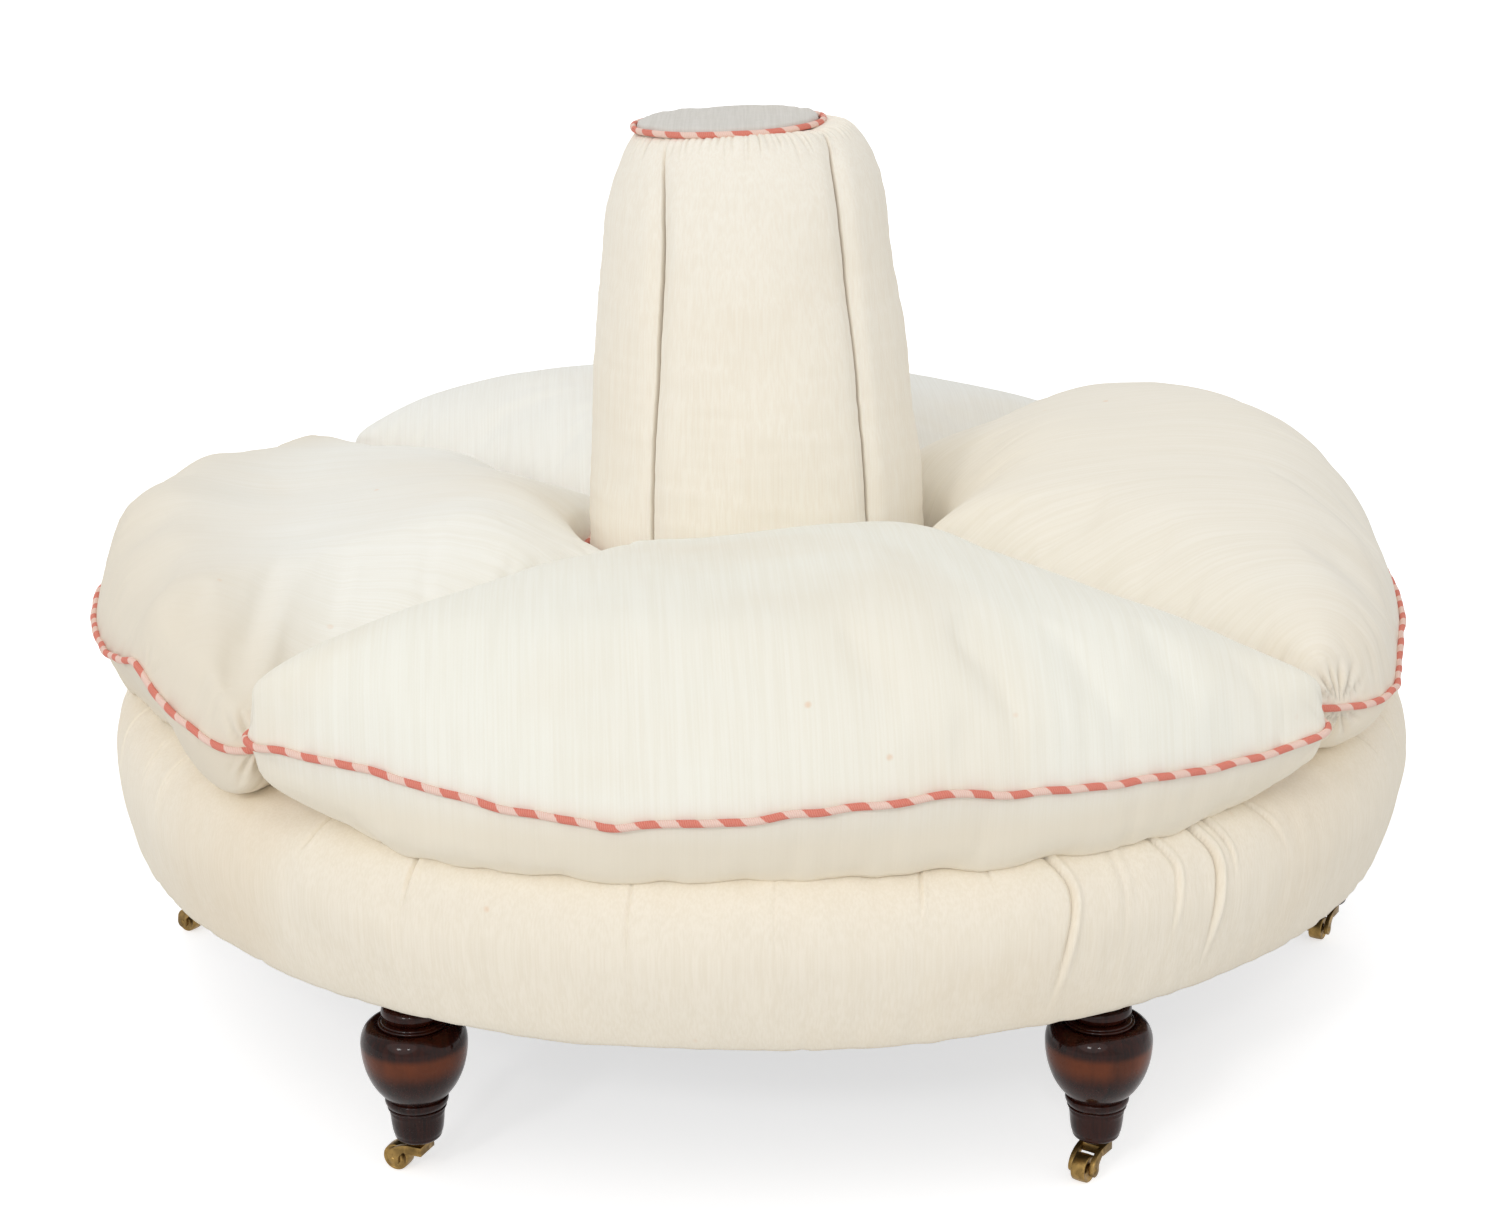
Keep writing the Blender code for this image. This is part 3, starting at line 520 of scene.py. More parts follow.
@dataclass(frozen=True)
class Mahogany:
    """Turned mahogany under old French polish, with a painted orange-brown highlight band where a leg is
    widest.
    """

    name: str = "polished_mahogany"
    slot: str = "leg_mahogany"

    def make(self) -> bpy.types.Material:
        """Build the material.

        Returns:
            The material.
        """
        board = Board(self.name)
        upright = board.place(stretch=(1, 1, 0.06))
        grain = board.noise(upright, 260, 4.0, 0.4)
        figure = board.noise(board.place(stretch=(1, 1, 0.3)), 22, 3.0, 0.8)
        rise = board.height()
        # Painted highlight: an orange-brown band round the widest part of each bulb.
        painted_highlight_band = board.band(rise, 0.104, 0.124) * board.band(rise, 0.137, 0.129)
        wood = board.mix(board.band(grain * 0.6 + figure * 0.4, 0.34, 0.66), srgb(24, 8, 5), srgb(50, 18, 10))
        wood = board.mix(painted_highlight_band * figure * 0.9, wood, srgb(128, 62, 26))
        dust = board.noise(board.place(), 60, 3.0)
        return board.finish(
            Base_Color=wood,
            Roughness=board.band(dust, 0.35, 0.75) * 0.16 + 0.22,
            Specular_IOR_Level=0.05,
            Coat_Weight=0.30,
            Coat_Roughness=0.05,
            Normal=board.relief(grain, 0.0003, 0.25),
        )


@dataclass(frozen=True)
class AgedBrass:
    """Yellow brass with a brown patina in uneven patches."""

    name: str
    slot: str
    dulling: float = 0.55

    def make(self) -> bpy.types.Material:
        """Build the material.

        Returns:
            The material.
        """
        board = Board(self.name)
        patch = board.noise(board.place(), 95, 5.0, 0.5)
        fine = board.noise(board.place(), 900, 2.0)
        dull = board.band(patch, 0.30, 0.68) * self.dulling
        color = board.mix(dull, srgb(158, 128, 76), srgb(62, 49, 28))
        color = board.mix(board.band(fine, 0.58, 0.72) * 0.35, color, srgb(60, 46, 32))
        return board.finish(
            Base_Color=color,
            Metallic=1.0,
            Roughness=dull * 0.35 + 0.26 + fine * 0.08,
            Normal=board.relief(fine * 0.4 + patch, 0.0004, 0.35),
        )


@dataclass(frozen=True)
class PlainWood:
    """Sawn beech with a straight grain along one axis."""

    name: str = "sawn_beech"
    slot: str = "frame_beech"

    def make(self) -> bpy.types.Material:
        """Build the material.

        Returns:
            The material.
        """
        board = Board(self.name)
        grain = board.noise(board.place(stretch=(0.15, 1, 1)), 150, 4.0, 0.3)
        flecks = board.noise(board.place(stretch=(0.3, 1, 1)), 600, 1.0)
        color = board.mix(board.band(grain, 0.35, 0.68), srgb(186, 148, 104), srgb(214, 180, 136))
        color = board.mix(board.band(flecks, 0.62, 0.72) * 0.5, color, srgb(146, 106, 70))
        return board.finish(Base_Color=color, Roughness=0.62, Normal=board.relief(grain, 0.0006, 0.4))


@dataclass(frozen=True)
class PlainWeave:
    """Plain woven cloth whose threads cross at right angles."""

    name: str
    slot: str
    tone: Color
    shade: Color
    pitch: float

    def make(self) -> bpy.types.Material:
        """Build the material.

        Returns:
            The material.
        """
        board = Board(self.name)
        spot = board.place()
        inputs = {"Vector": spot, "Scale": 1 / (2.0 * self.pitch), "Distortion": 0.6}
        warp = board.node("ShaderNodeTexWave", {"bands_direction": "X"}, inputs)
        weft = board.node("ShaderNodeTexWave", {"bands_direction": "Y"}, inputs)
        threads = warp * 0.5 + weft * 0.5
        uneven = board.noise(spot, 45, 4.0)
        color = board.mix(board.band(threads * 0.6 + uneven * 0.5, 0.3, 0.8), self.shade, self.tone)
        return board.finish(
            Base_Color=color,
            Roughness=0.93,
            Normal=board.relief(threads, self.pitch * 0.4, 0.7),
        )


@dataclass(frozen=True)
class LooseFill:
    """Hair and cotton stuffing."""

    name: str = "hair_and_cotton"
    slot: str = "stuffing"

    def make(self) -> bpy.types.Material:
        """Build the material.

        Returns:
            The material.
        """
        board = Board(self.name)
        tufts = board.noise(board.place(), 120, 6.0, 1.2)
        color = board.mix(board.band(tufts, 0.35, 0.7), srgb(170, 156, 128), srgb(224, 214, 192))
        return board.finish(Base_Color=color, Roughness=0.96, Normal=board.relief(tufts, 0.003, 0.8))


@dataclass(frozen=True)
class SpringSteel:
    """Drawn steel wire with a dull oxide skin."""

    name: str = "spring_wire"
    slot: str = "spring_steel"

    def make(self) -> bpy.types.Material:
        """Build the material.

        Returns:
            The material.
        """
        board = Board(self.name)
        scale = board.noise(board.place(), 180, 4.0)
        color = board.mix(board.band(scale, 0.4, 0.7), srgb(96, 94, 92), srgb(148, 140, 130))
        return board.finish(
            Base_Color=color,
            Metallic=1.0,
            Roughness=scale * 0.3 + 0.3,
            Normal=board.relief(scale, 0.0002, 0.4),
        )


Finish = CreamCloth | StripedPiping | Mahogany | AgedBrass | PlainWood | PlainWeave | LooseFill | SpringSteel


class Wardrobe:
    """Makes each finish once and dresses pieces in it."""

    def __init__(self) -> None:
        """Start with no finish made."""
        self._made: dict[str, bpy.types.Material] = {}

    def dress(self, piece: Piece, finish: Finish) -> Piece:
        """Give a piece a finish.

        Args:
            piece: What is dressed.
            finish: Its finish.

        Returns:
            The piece.
        """
        if finish.name not in self._made:
            self._made[finish.name] = finish.make()
        piece.data.materials.clear()
        piece.data.materials.append(self._made[finish.name])
        return piece


wardrobe = Wardrobe()


def stand_for(piece: Piece, body: str, node: str) -> None:
    """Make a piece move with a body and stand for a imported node."""
    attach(piece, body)
    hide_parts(node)


def new_object(name: str, mesh: bpy.types.Mesh) -> Piece:
    """Return a smooth shaded object in the scene.

    Args:
        name: Name of the object.
        mesh: Its mesh.

    Returns:
        The object.
    """
    mesh.shade_smooth()
    piece = bpy.data.objects.new(name, mesh)
    bpy.context.scene.collection.objects.link(piece)
    return piece


def built(name: str, work: bmesh.types.BMesh) -> Piece:
    """Return a smooth shaded object made of what was worked on.

    Args:
        name: Name of the object.
        work: The mesh worked on, which is freed.

    Returns:
        The object.
    """
    mesh = bpy.data.meshes.new(name)
    work.to_mesh(mesh)
    work.free()
    return new_object(name, mesh)


def cloth_object(name: str, points: Array, faces: Array) -> Piece:
    """Return an object made of these points and faces.

    Args:
        name: Name of the object.
        points: Places, one row each.
        faces: Point numbers, one row each.

    Returns:
        The object.
    """
    mesh = bpy.data.meshes.new(name)
    mesh.from_pydata(points.tolist(), [], faces.tolist())
    mesh.update()
    return new_object(name, mesh)


def note_values(piece: Piece, name: str, values: Array) -> None:
    """Write a named value at each point of a piece."""
    layer = piece.data.attributes.new(name, "FLOAT", "POINT")
    layer.data.foreach_set("value", values.astype(np.float32).ravel())


def note_fold_shade(piece: Piece, amounts: Array) -> None:
    """Write how deep in a fold each point lies, for painted shade there."""
    note_values(piece, "fold", np.clip(amounts, 0, 1))


def grid_faces(index: Array) -> Array:
    """Return the four-sided faces of a grid of point numbers."""
    corners = (index[:-1, :-1], index[1:, :-1], index[1:, 1:], index[:-1, 1:])
    return np.stack([corner.ravel() for corner in corners], 1)


def round_faces(index: Array) -> Array:
    """Return the faces of a grid whose last row joins its first."""
    return grid_faces(np.vstack([index, index[:1]]))


def round_object(name: str, points: Array) -> Piece:
    """Return an object made of a grid of points whose last row joins its first."""
    index = np.arange(points.shape[0] * points.shape[1]).reshape(points.shape[:2])
    return cloth_object(name, points.reshape(-1, 3), round_faces(index))


def settle(piece: Piece) -> Piece:
    """Apply the modifiers of a piece.

    Args:
        piece: Object with modifiers.

    Returns:
        The same object, in the shape that they gave it.
    """
    bpy.context.view_layer.update()
    shown = piece.evaluated_get(bpy.context.evaluated_depsgraph_get())
    mesh = bpy.data.meshes.new_from_object(shown)
    piece.modifiers.clear()
    piece.data = mesh
    return piece


def read_points(mesh: bpy.types.Mesh) -> Array:
    """Return the places of a mesh's points, one row each.

    Args:
        mesh: The mesh.

    Returns:
        The places.
    """
    flat = np.empty(len(mesh.vertices) * 3)
    mesh.vertices.foreach_get("co", flat)
    return flat.reshape(-1, 3)


def read_normals(mesh: bpy.types.Mesh) -> Array:
    """Return the way out of a mesh at each point, one row each.

    Args:
        mesh: The mesh.

    Returns:
        Vectors of length 1.
    """
    flat = np.empty(len(mesh.vertices) * 3)
    mesh.vertex_normals.foreach_get("vector", flat)
    return flat.reshape(-1, 3)


def write_points(mesh: bpy.types.Mesh, points: Array) -> None:
    """Move a mesh's points."""
    mesh.vertices.foreach_set("co", points.ravel())
    mesh.update()


def turned_piece(name: str, profile: Sequence[Corner], segments: int, sharp: float = 40.0) -> Piece:
    """Spin a half outline of (radius, height) points that starts and ends on the axis.

    Args:
        name: Name of the object.
        profile: Half outline, top to bottom.
        segments: Number of steps round.
        sharp: Angle in degrees past which an edge is shaded sharp.

    Returns:
        The turned object.
    """
    work = bmesh.new()
    verts = [work.verts.new((radius, 0, height)) for radius, height in profile]
    edges = [work.edges.new(pair) for pair in zip(verts, verts[1:])]
    way = {"cent": (0, 0, 0), "axis": (0, 0, 1), "angle": FULL_TURN, "steps": segments, "use_merge": True}
    bmesh.ops.spin(work, geom=verts + edges, **way)
    bmesh.ops.remove_doubles(work, verts=work.verts, dist=WELD_DISTANCE)
    bmesh.ops.recalc_face_normals(work, faces=work.faces)
    piece = built(name, work)
    piece.data.set_sharp_from_angle(angle=math.radians(sharp))
    return piece


def cord_object(name: str, path: Array, radius: float, sides: int = 12) -> Piece:
    """Return a closed cord with a map of metres along and turns round it.

    Args:
        name: Name of the object.
        path: Centre line of the cord, a loop of points, anticlockwise seen from above.
        radius: Radius of the cord.
        sides: Number of faces round it.

    Returns:
        The cord.
    """
    ahead = np.roll(path, -1, 0) - np.roll(path, 1, 0)
    ahead /= np.linalg.norm(ahead, axis=1, keepdims=True)
    outward = np.cross(ahead, (0.0, 0.0, 1.0))
    outward /= np.linalg.norm(outward, axis=1, keepdims=True)
    upward = np.cross(outward, ahead)
    angles = math.pi + np.arange(sides) * FULL_TURN / sides
    ring = outward[:, None] * np.cos(angles)[None, :, None] - upward[:, None] * np.sin(angles)[None, :, None]
    points = path[:, None] + ring * radius
    count = len(path)
    index = np.arange(count * sides).reshape(count, sides)
    index = np.vstack([index, index[:1]])
    index = np.hstack([index, index[:, :1]])
    piece = cloth_object(name, points.reshape(-1, 3), grid_faces(index))
    steps = np.linalg.norm(np.roll(path, -1, 0) - path, axis=1)
    along = np.concatenate([[0.0], np.cumsum(steps)])
    rows, columns = np.meshgrid(np.arange(count + 1), np.arange(sides + 1), indexing="ij")
    spots = np.stack([along[rows], columns / sides], -1)
    corners = (spots[:-1, :-1], spots[1:, :-1], spots[1:, 1:], spots[:-1, 1:])
    layer = piece.data.uv_layers.new(name="cord")
    layer.uv.foreach_set("vector", np.stack(corners, 2).astype(np.float32).ravel())
    return piece


@dataclass(frozen=True)
class Crease:
    """A fold in stretched cloth: a valley with a soft ridge beside it and a slit at its bottom.

    The path is a list of (angle in degrees about the axis, height, strength), top to bottom.
    """

    path: tuple[Place, ...]
    depth: float
    width: float
    ridge: float = 0.5
    slit: float = 0.0
    slit_width: float = 0.0008

    def middle(self, heights: Array) -> Array:
        """Return the angle of the fold at each height, in radians."""
        path = smooth_path(self.path, 8)[::-1]
        return np.radians(np.interp(heights, path[:, 1], path[:, 0]))

    def _spread(self, angles: Array, heights: Array, radii: Array) -> tuple[Array, Array]:
        """Return the strength of the fold and the distance across it at each place.

        Args:
            angles: Angle about the axis, in radians.
            heights: Height above the floor.
            radii: Distance from the axis.

        Returns:
            The strengths and the distances.
        """
        path = np.array(self.path)[::-1]
        strength = np.interp(heights, path[:, 1], path[:, 2])
        return strength, turn_gap(angles, self.middle(heights)) * radii

    def shade(self, angles: Array, heights: Array, radii: Array) -> Array:
        """Return how much painted shade the fold gets at each place, from 0 to 1.

        Args:
            angles: Angle about the axis, in radians.
            heights: Height above the floor.
            radii: Distance from the axis.

        Returns:
            The amounts.
        """
        strength, across = self._spread(angles, heights, radii)
        amount = min(self.depth / SHADED_DEPTH + self.slit / SHADED_SLIT, 1.0)
        return amount * np.clip(strength, 0, 1) * hump(across, max(self.slit_width, SHADED_WIDTH))

    def push(self, angles: Array, heights: Array, radii: Array) -> Array:
        """Return how far the cloth moves out at each place.

        Args:
            angles: Angle about the axis, in radians.
            heights: Height above the floor.
            radii: Distance from the axis.

        Returns:
            How far each place moves out, in metres.
        """
        strength, across = self._spread(angles, heights, radii)
        valley = self.ridge * hump(across - 1.7 * self.width, 1.3 * self.width) - hump(across, self.width)
        return strength * (self.depth * valley - self.slit * hump(across, self.slit_width))


def crowded_angles(count: int, middles: Sequence[float], reach: float, gain: float) -> Array:
    """Return angles round a full turn that lie closer together near some of them.

    Args:
        count: Number of angles.
        middles: Angles in degrees round which the others crowd.
        reach: How far each crowd reaches, in degrees.
        gain: How much closer they lie there.

    Returns:
        The angles in radians, rising.
    """
    dense = np.linspace(0, FULL_TURN, 14400, endpoint=False)
    weight = np.ones_like(dense)
    for middle in middles:
        near = hump(turn_gap(dense, math.radians(middle)), math.radians(reach))
        weight = np.maximum(weight, 1 + gain * near)
    travelled = np.concatenate([[0.0], np.cumsum(weight)])
    places = np.linspace(0, travelled[-1], count, endpoint=False)
    return np.interp(places, travelled, np.append(dense, FULL_TURN))


@dataclass(frozen=True)
class Studio:
    """White studio: plain pale floor, soft light and the camera of the photograph."""

    focal_pixels: float = 2724.0
    image_width: float = 1500.0
    camera_distance: float = 2.778
    camera_height: float = 1.233
    pitch: float = math.radians(17.23)
    roll: float = math.radians(-0.54)
    yaw: float = math.radians(0.22)
    floor_radius: float = 40.0
    floor_sides: int = 64
    floor_tone: float = 0.80
    floor_glow: float = 0.636
    sky_color: Color = (0.98, 0.99, 1.0)
    sky_light: float = 0.52
    plain_rays: tuple[str, ...] = ("Camera", "Glossy", "Transmission")
    lamps: tuple[tuple[str, Place, float, float], ...] = (
        ("key_light", (-0.45, -1.00, 0.90), 0.66, 60.0),
        ("left_window", (-0.52, -0.95, 0.66), 0.32, 8.0),
        ("right_window", (-0.10, -0.98, 0.66), 0.17, 5.0),
        ("side_light", (0.90, -0.35, 0.60), 0.37, 80.0),
        ("back_light", (-0.30, 0.90, 0.90), 0.45, 80.0),
    )

    def build(self) -> None:
        """Make the floor, the lamps, the world and the camera."""
        self._camera()
        self._floor()
        for lamp in self.lamps:
            self._lamp(*lamp)
        self._world()
        bpy.context.scene.view_settings.view_transform = "Standard"
        log.info("studio: floor, world, camera and %d lights", len(self.lamps))

    def _camera(self) -> None:
        """Place the camera."""
        data = bpy.data.cameras.new("studio_camera")
        data.sensor_width = 36.0
        data.lens = data.sensor_width * self.focal_pixels / self.image_width
        camera = bpy.data.objects.new("studio_camera", data)
        bpy.context.scene.collection.objects.link(camera)
        look = Matrix.Rotation(self.yaw, 4, "Z") @ Matrix.Rotation(QUARTER_TURN - self.pitch, 4, "X")
        place = Matrix.Translation((0, -self.camera_distance, self.camera_height))
        camera.matrix_world = place @ look @ Matrix.Rotation(self.roll, 4, "Z")
        bpy.context.scene.camera = camera

    def _floor(self) -> None:
        """Lay a floor that is white to the camera and plain pale to the object."""
        turn = np.linspace(0, FULL_TURN, self.floor_sides, endpoint=False)
        rim = self.floor_radius * np.stack([np.cos(turn), np.sin(turn), 0 * turn], 1)
        floor = cloth_object("studio_floor", rim, np.arange(self.floor_sides)[None, :])
        board = Board("studio_floor")
        shown = self._shown(board)
        white = board.mix(board.noise(board.place(), 2.0, 2.0) * 0.02, (0.72,) * 3, (0.68,) * 3)
        color = board.mix(shown, (self.floor_tone,) * 3, white)
        glow = board.mix(shown, (0.0,) * 3, (self.floor_glow,) * 3)
        fields = {"Emission_Color": glow, "Emission_Strength": 1.0, "Specular_IOR_Level": 0.1}
        floor.data.materials.append(board.finish(Base_Color=color, Roughness=0.95, **fields))

    def _shown(self, board: Board) -> Field:
        """Return 1 for the rays that see plain white: straight, mirrored or through something."""
        return sum(board.node("ShaderNodeLightPath", output=f"Is {ray} Ray") for ray in self.plain_rays)

    def _lamp(self, name: str, towards: Sequence[float], strength: float, spread: float) -> None:
        """Add a broad distant light that shines from a direction.

        Args:
            name: Name of the lamp.
            towards: Way from the object to the light.
            strength: Strength of the light.
            spread: How broad it looks, in degrees.
        """
        data = bpy.data.lights.new(name, "SUN")
        data.energy = strength
        data.angle = math.radians(spread)
        lamp = bpy.data.objects.new(name, data)
        bpy.context.scene.collection.objects.link(lamp)
        lamp.rotation_euler = Vector(towards).to_track_quat("Z", "Y").to_euler()

    def _world(self) -> None:
        """Light the object evenly from all round, with white behind it."""
        sky = Sky("studio_world")
        sky.feed(sky.shader.inputs["Color"], self.sky_color)
        inputs = {"Value": self._shown(sky), "To Min": self.sky_light, "To Max": 1.0}
        sky.feed(sky.shader.inputs["Strength"], sky.node("ShaderNodeMapRange", {}, inputs))


@dataclass
class SeatDrum:
    """The cream cover of the round seat and the dust cover underneath."""

    outline_shares: tuple[Corner, ...] = (
        (0.9740, 0.010), (0.9830, 0.110), (0.9960, 0.340), (1.0000, 0.560),
        (0.9860, 0.770), (0.9530, 0.905), (0.8950, 0.985), (0.8300, 1.000),
    )
    lip_radius: float = 0.6460
    edge_radius: float = 0.0050
    foot_drop: float = 0.0025
    thickness: float = 0.0016
    segments: int = 1800
    side_rows: int = 72
    deck_rows: int = 22
    seen_creases: tuple[Crease, ...] = (
        Crease(((-127.0, 0.346, 1), (-127.5, 0.330, 1), (-128.2, 0.312, 0)), 0.0034, 0.0022),
        Crease(((-117.2, 0.342, 1), (-117.4, 0.318, 1), (-117.7, 0.286, 0)), 0.0038, 0.0022),
        Crease(((-99.7, 0.346, 1), (-99.8, 0.300, 0.8), (-99.9, 0.225, 0)), 0.0016, 0.0016, 0.4),
        Crease(((-89.0, 0.346, 1), (-89.2, 0.300, 0.8), (-89.0, 0.255, 0)), 0.0009, 0.0018, 0.4),
        Crease(((-77.8, 0.346, 1), (-78.2, 0.325, 0.9), (-78.6, 0.298, 0)), 0.0024, 0.0018),
        Crease(((-73.8, 0.346, 1), (-72.9, 0.333, 0.9), (-72.3, 0.318, 0)), 0.0022, 0.0018),
        Crease(
            ((-68.6, 0.346, 1), (-66.7, 0.311, 1), (-67.3, 0.262, 0.8), (-68.3, 0.200, 0)),
            0.0042, 0.0030, 0.7, 0.0014,
        ),
        Crease(((-62.8, 0.345, 1), (-62.2, 0.300, 0.8), (-62.6, 0.235, 0)), 0.0012, 0.0040, 0.8),
        Crease(
            ((-59.4, 0.345, 1), (-57.4, 0.315, 1), (-57.3, 0.290, 0.7), (-58.0, 0.245, 0)),
            0.0034, 0.0026, 0.8,
        ),
        Crease(
            ((-55.4, 0.345, 1), (-53.4, 0.312, 1), (-53.5, 0.270, 0.8), (-54.3, 0.205, 0)),
            0.0048, 0.0030, 0.9, 0.0016,
        ),
        Crease(((-53.2, 0.342, 1), (-51.7, 0.315, 1), (-51.4, 0.285, 0)), 0.0030, 0.0022, 0.8),
        Crease(((-48.4, 0.343, 1), (-46.4, 0.322, 0.9), (-45.0, 0.286, 0)), 0.0024, 0.0026, 0.8),
        Crease(((-28.6, 0.345, 1), (-27.2, 0.330, 1), (-26.2, 0.308, 0)), 0.0028, 0.0022),
    )
    other_crease_count: int = 26
    other_arc: Span = (-18.0, 214.0)
    crease_head: float = 0.346
    crease_foot: Span = (0.215, 0.318)
    crease_depth: Span = (0.0010, 0.0042)
    crease_width: Span = (0.0018, 0.0032)
    crease_painted_shade: float = 0.45
    waves: tuple[Wave, ...] = ((0.0011, 0.19, (1, 1, 1.6)), (0.0004, 0.035, (1, 1, 0.5)))
    wall_start: Span = (0.600, 0.640)
    deck_dent: float = 0.0012
    pucker_count: int = 96
    pucker_width: Span = (0.0035, 0.0080)
    pucker_depth: Span = (0.0, 0.0012)
    dust_sag: float = 0.0045
    dust_ripple: float = 0.0008
    tack_count: int = 72
    tack_depth: float = 0.0009
    post_gap: float = 0.0008
    seed: int = 11

    def __post_init__(self) -> None:
        """Take the sizes of the drum from the frame."""
        low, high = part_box("seat_cover")
        self.radius = (high.x - low.x) / 2
        self.foot = low.z - self.foot_drop
        self.deck = high.z
        self.post_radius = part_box("column_post")[1].x + self.post_gap

    def outline(self) -> Array:
        """Return the outer outline from the lip underneath to the post, evenly spaced.

        Returns:
            Points of (radius, height), one row each.
        """
        height = self.deck - self.foot
        side = [(self.radius * r, self.foot + height * h) for r, h in self.outline_shares]
        turned_under = [
            (self.lip_radius, self.foot),
            (side[0][0] - 2.2 * self.edge_radius, self.foot),
            (side[0][0] - 0.5 * self.edge_radius, self.foot + 0.0003),
        ]
        wall = even_path(smooth_path(turned_under + side, 12), self.side_rows)
        deck_radii = np.linspace(wall[-1, 0], self.post_radius, self.deck_rows)[1:]
        deck = np.stack([deck_radii, np.full(len(deck_radii), self.deck)], 1)
        return np.vstack([wall, deck])

    def surface_height(self, radii: Array) -> Array:
        """Return how high the top of the drum lies at each radius.

        Args:
            radii: Distances from the middle line.

        Returns:
            Heights above the floor.
        """
        height = self.deck - self.foot
        side = np.array([(self.radius * r, self.foot + height * h) for r, h in self.outline_shares[3:]])
        path = smooth_path(side, 6)[::-1]
        return np.interp(radii, path[:, 0], path[:, 1])

    def creases(self) -> list[Crease]:
        """Return the creases that the photograph shows and others like them round the back.

        Returns:
            The creases.
        """
        draw = np.random.default_rng(self.seed)
        found = list(self.seen_creases)
        for middle in np.linspace(*self.other_arc, self.other_crease_count):
            start = middle + draw.uniform(-3, 3)
            drift = draw.uniform(-1.6, 1.6)
            foot = draw.uniform(*self.crease_foot)
            head = self.crease_head
            path = ((start, head, 1), (start + drift, (head + foot) / 2, 0.9), (start + 0.7 * drift, foot, 0))
            depth = draw.uniform(*self.crease_depth)
            width = draw.uniform(*self.crease_width)
            found.append(Crease(path, depth, width, draw.uniform(0.4, 0.9)))
        return found

    def cover(self) -> Piece:
        """Build the cover as one sheet with its creases and puckers, thickened inwards.

        Returns:
            The cover.
        """
        outline = self.outline()
        normals = outline_normals(outline)
        creases = self.creases()
        angles = crowded_angles(self.segments, [crease.path[1][0] for crease in creases], 1.4, 4.0)
        turn, row = np.meshgrid(angles, np.arange(len(outline)), indexing="ij")
        radii = outline[row, 0]
        heights = outline[row, 1]
        on_wall = ease(*self.wall_start, radii)
        shown = around_axis(turn, radii, heights).reshape(-1, 3)
        push = unevenness(shown, self.seed, self.waves).reshape(turn.shape) * on_wall
        folds = np.zeros_like(push)
        for crease in creases:
            push += crease.push(turn, heights, radii) * on_wall
            # Painted shade in the creases.
            folds = np.maximum(folds, self.crease_painted_shade * crease.shade(turn, heights, radii) * on_wall)
        push += self._foot_puckers(turn, heights, radii)
        dents = (0.5 + 0.5 * np.sin(3 * turn + 9 * radii)) * ease(0.19, 0.30, radii)
        push -= self.deck_dent * (1 - on_wall) * dents
        radii = radii + push * normals[row, 0]
        heights = heights + push * normals[row, 1]
        cover = round_object("seat_cover_cloth", around_axis(turn, radii, heights))
        note_fold_shade(cover, folds)
        thicken(cover, self.thickness)
        return cover

    def _foot_puckers(self, turn: Array, heights: Array, radii: Array) -> Array:
        """Return the small gathers where the cloth turns under the frame.

        Args:
            turn: Angle about the axis, in radians.
            heights: Height above the floor.
            radii: Distance from the axis.

        Returns:
            How far each place moves out, in metres.
        """
        draw = np.random.default_rng(self.seed + 5)
        near = ease(self.foot + 0.030, self.foot + 0.002, heights)
        push = np.zeros_like(heights)
        for middle in np.arange(0, FULL_TURN, FULL_TURN / self.pucker_count):
            at = middle + draw.uniform(-0.02, 0.02)
            width = draw.uniform(*self.pucker_width)
            push -= draw.uniform(*self.pucker_depth) * hump(turn_gap(turn, at) * radii, width)
        return push * near

    def dust_cover(self) -> Piece:
        """Build the thin black cloth tacked under the frame, which hangs down a little.

        Returns:
            The cloth.
        """
        low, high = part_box("dust_cover")
        reach = high.x
        rings, steps = 40, 144
        radii = reach * np.linspace(0.004, 1, rings)
        turn, radius = np.meshgrid(np.arange(steps) * FULL_TURN / steps, radii, indexing="ij")
        flat = around_axis(turn, radius, radius)[..., :2]
        sag = self.dust_sag * (1 - (radius / reach) ** 2)
        tacks = self.tack_depth * np.sin(self.tack_count * turn) * ease(0.80 * reach, 0.97 * reach, radius)
        ripple = self.dust_ripple * soft_noise(flat.reshape(-1, 2), 23, 0.16).reshape(radius.shape)
        fade = ease(reach, 0.96 * reach, radius)
        heights = low.z + (high.z - low.z) / 2 - (sag + tacks + ripple) * fade
        return round_object("dust_cover_cloth", around_axis(turn, radius, heights))

    def build(self) -> None:
        """Build, dress and fix the soft pieces of the drum."""
        tones = (srgb(248, 239, 222), srgb(243, 233, 214))
        cream = CreamCloth("drum_cotton", *tones, Run.UPRIGHT, staining=0.30)
        cover = wardrobe.dress(self.cover(), cream)
        stand_for(cover, "root", "seat_cover")
        log.info("seat cover: %d creases round a drum %.3f m across", len(self.creases()), 2 * self.radius)
        black = PlainWeave("black_cotton_cloth", "black_cotton", srgb(44, 43, 45), srgb(24, 24, 26), 0.0009)
        dust = wardrobe.dress(self.dust_cover(), black)
        stand_for(dust, "root", "dust_cover")


def thicken(piece: Piece, thickness: float) -> None:
    """Give a sheet of cloth its thickness, inwards.

    Args:
        piece: The sheet.
        thickness: Its thickness in metres.
    """
    shell = piece.modifiers.new("thickness", "SOLIDIFY")
    shell.thickness = thickness
    shell.offset = -1.0
    settle(piece)
    piece.data.shade_smooth()


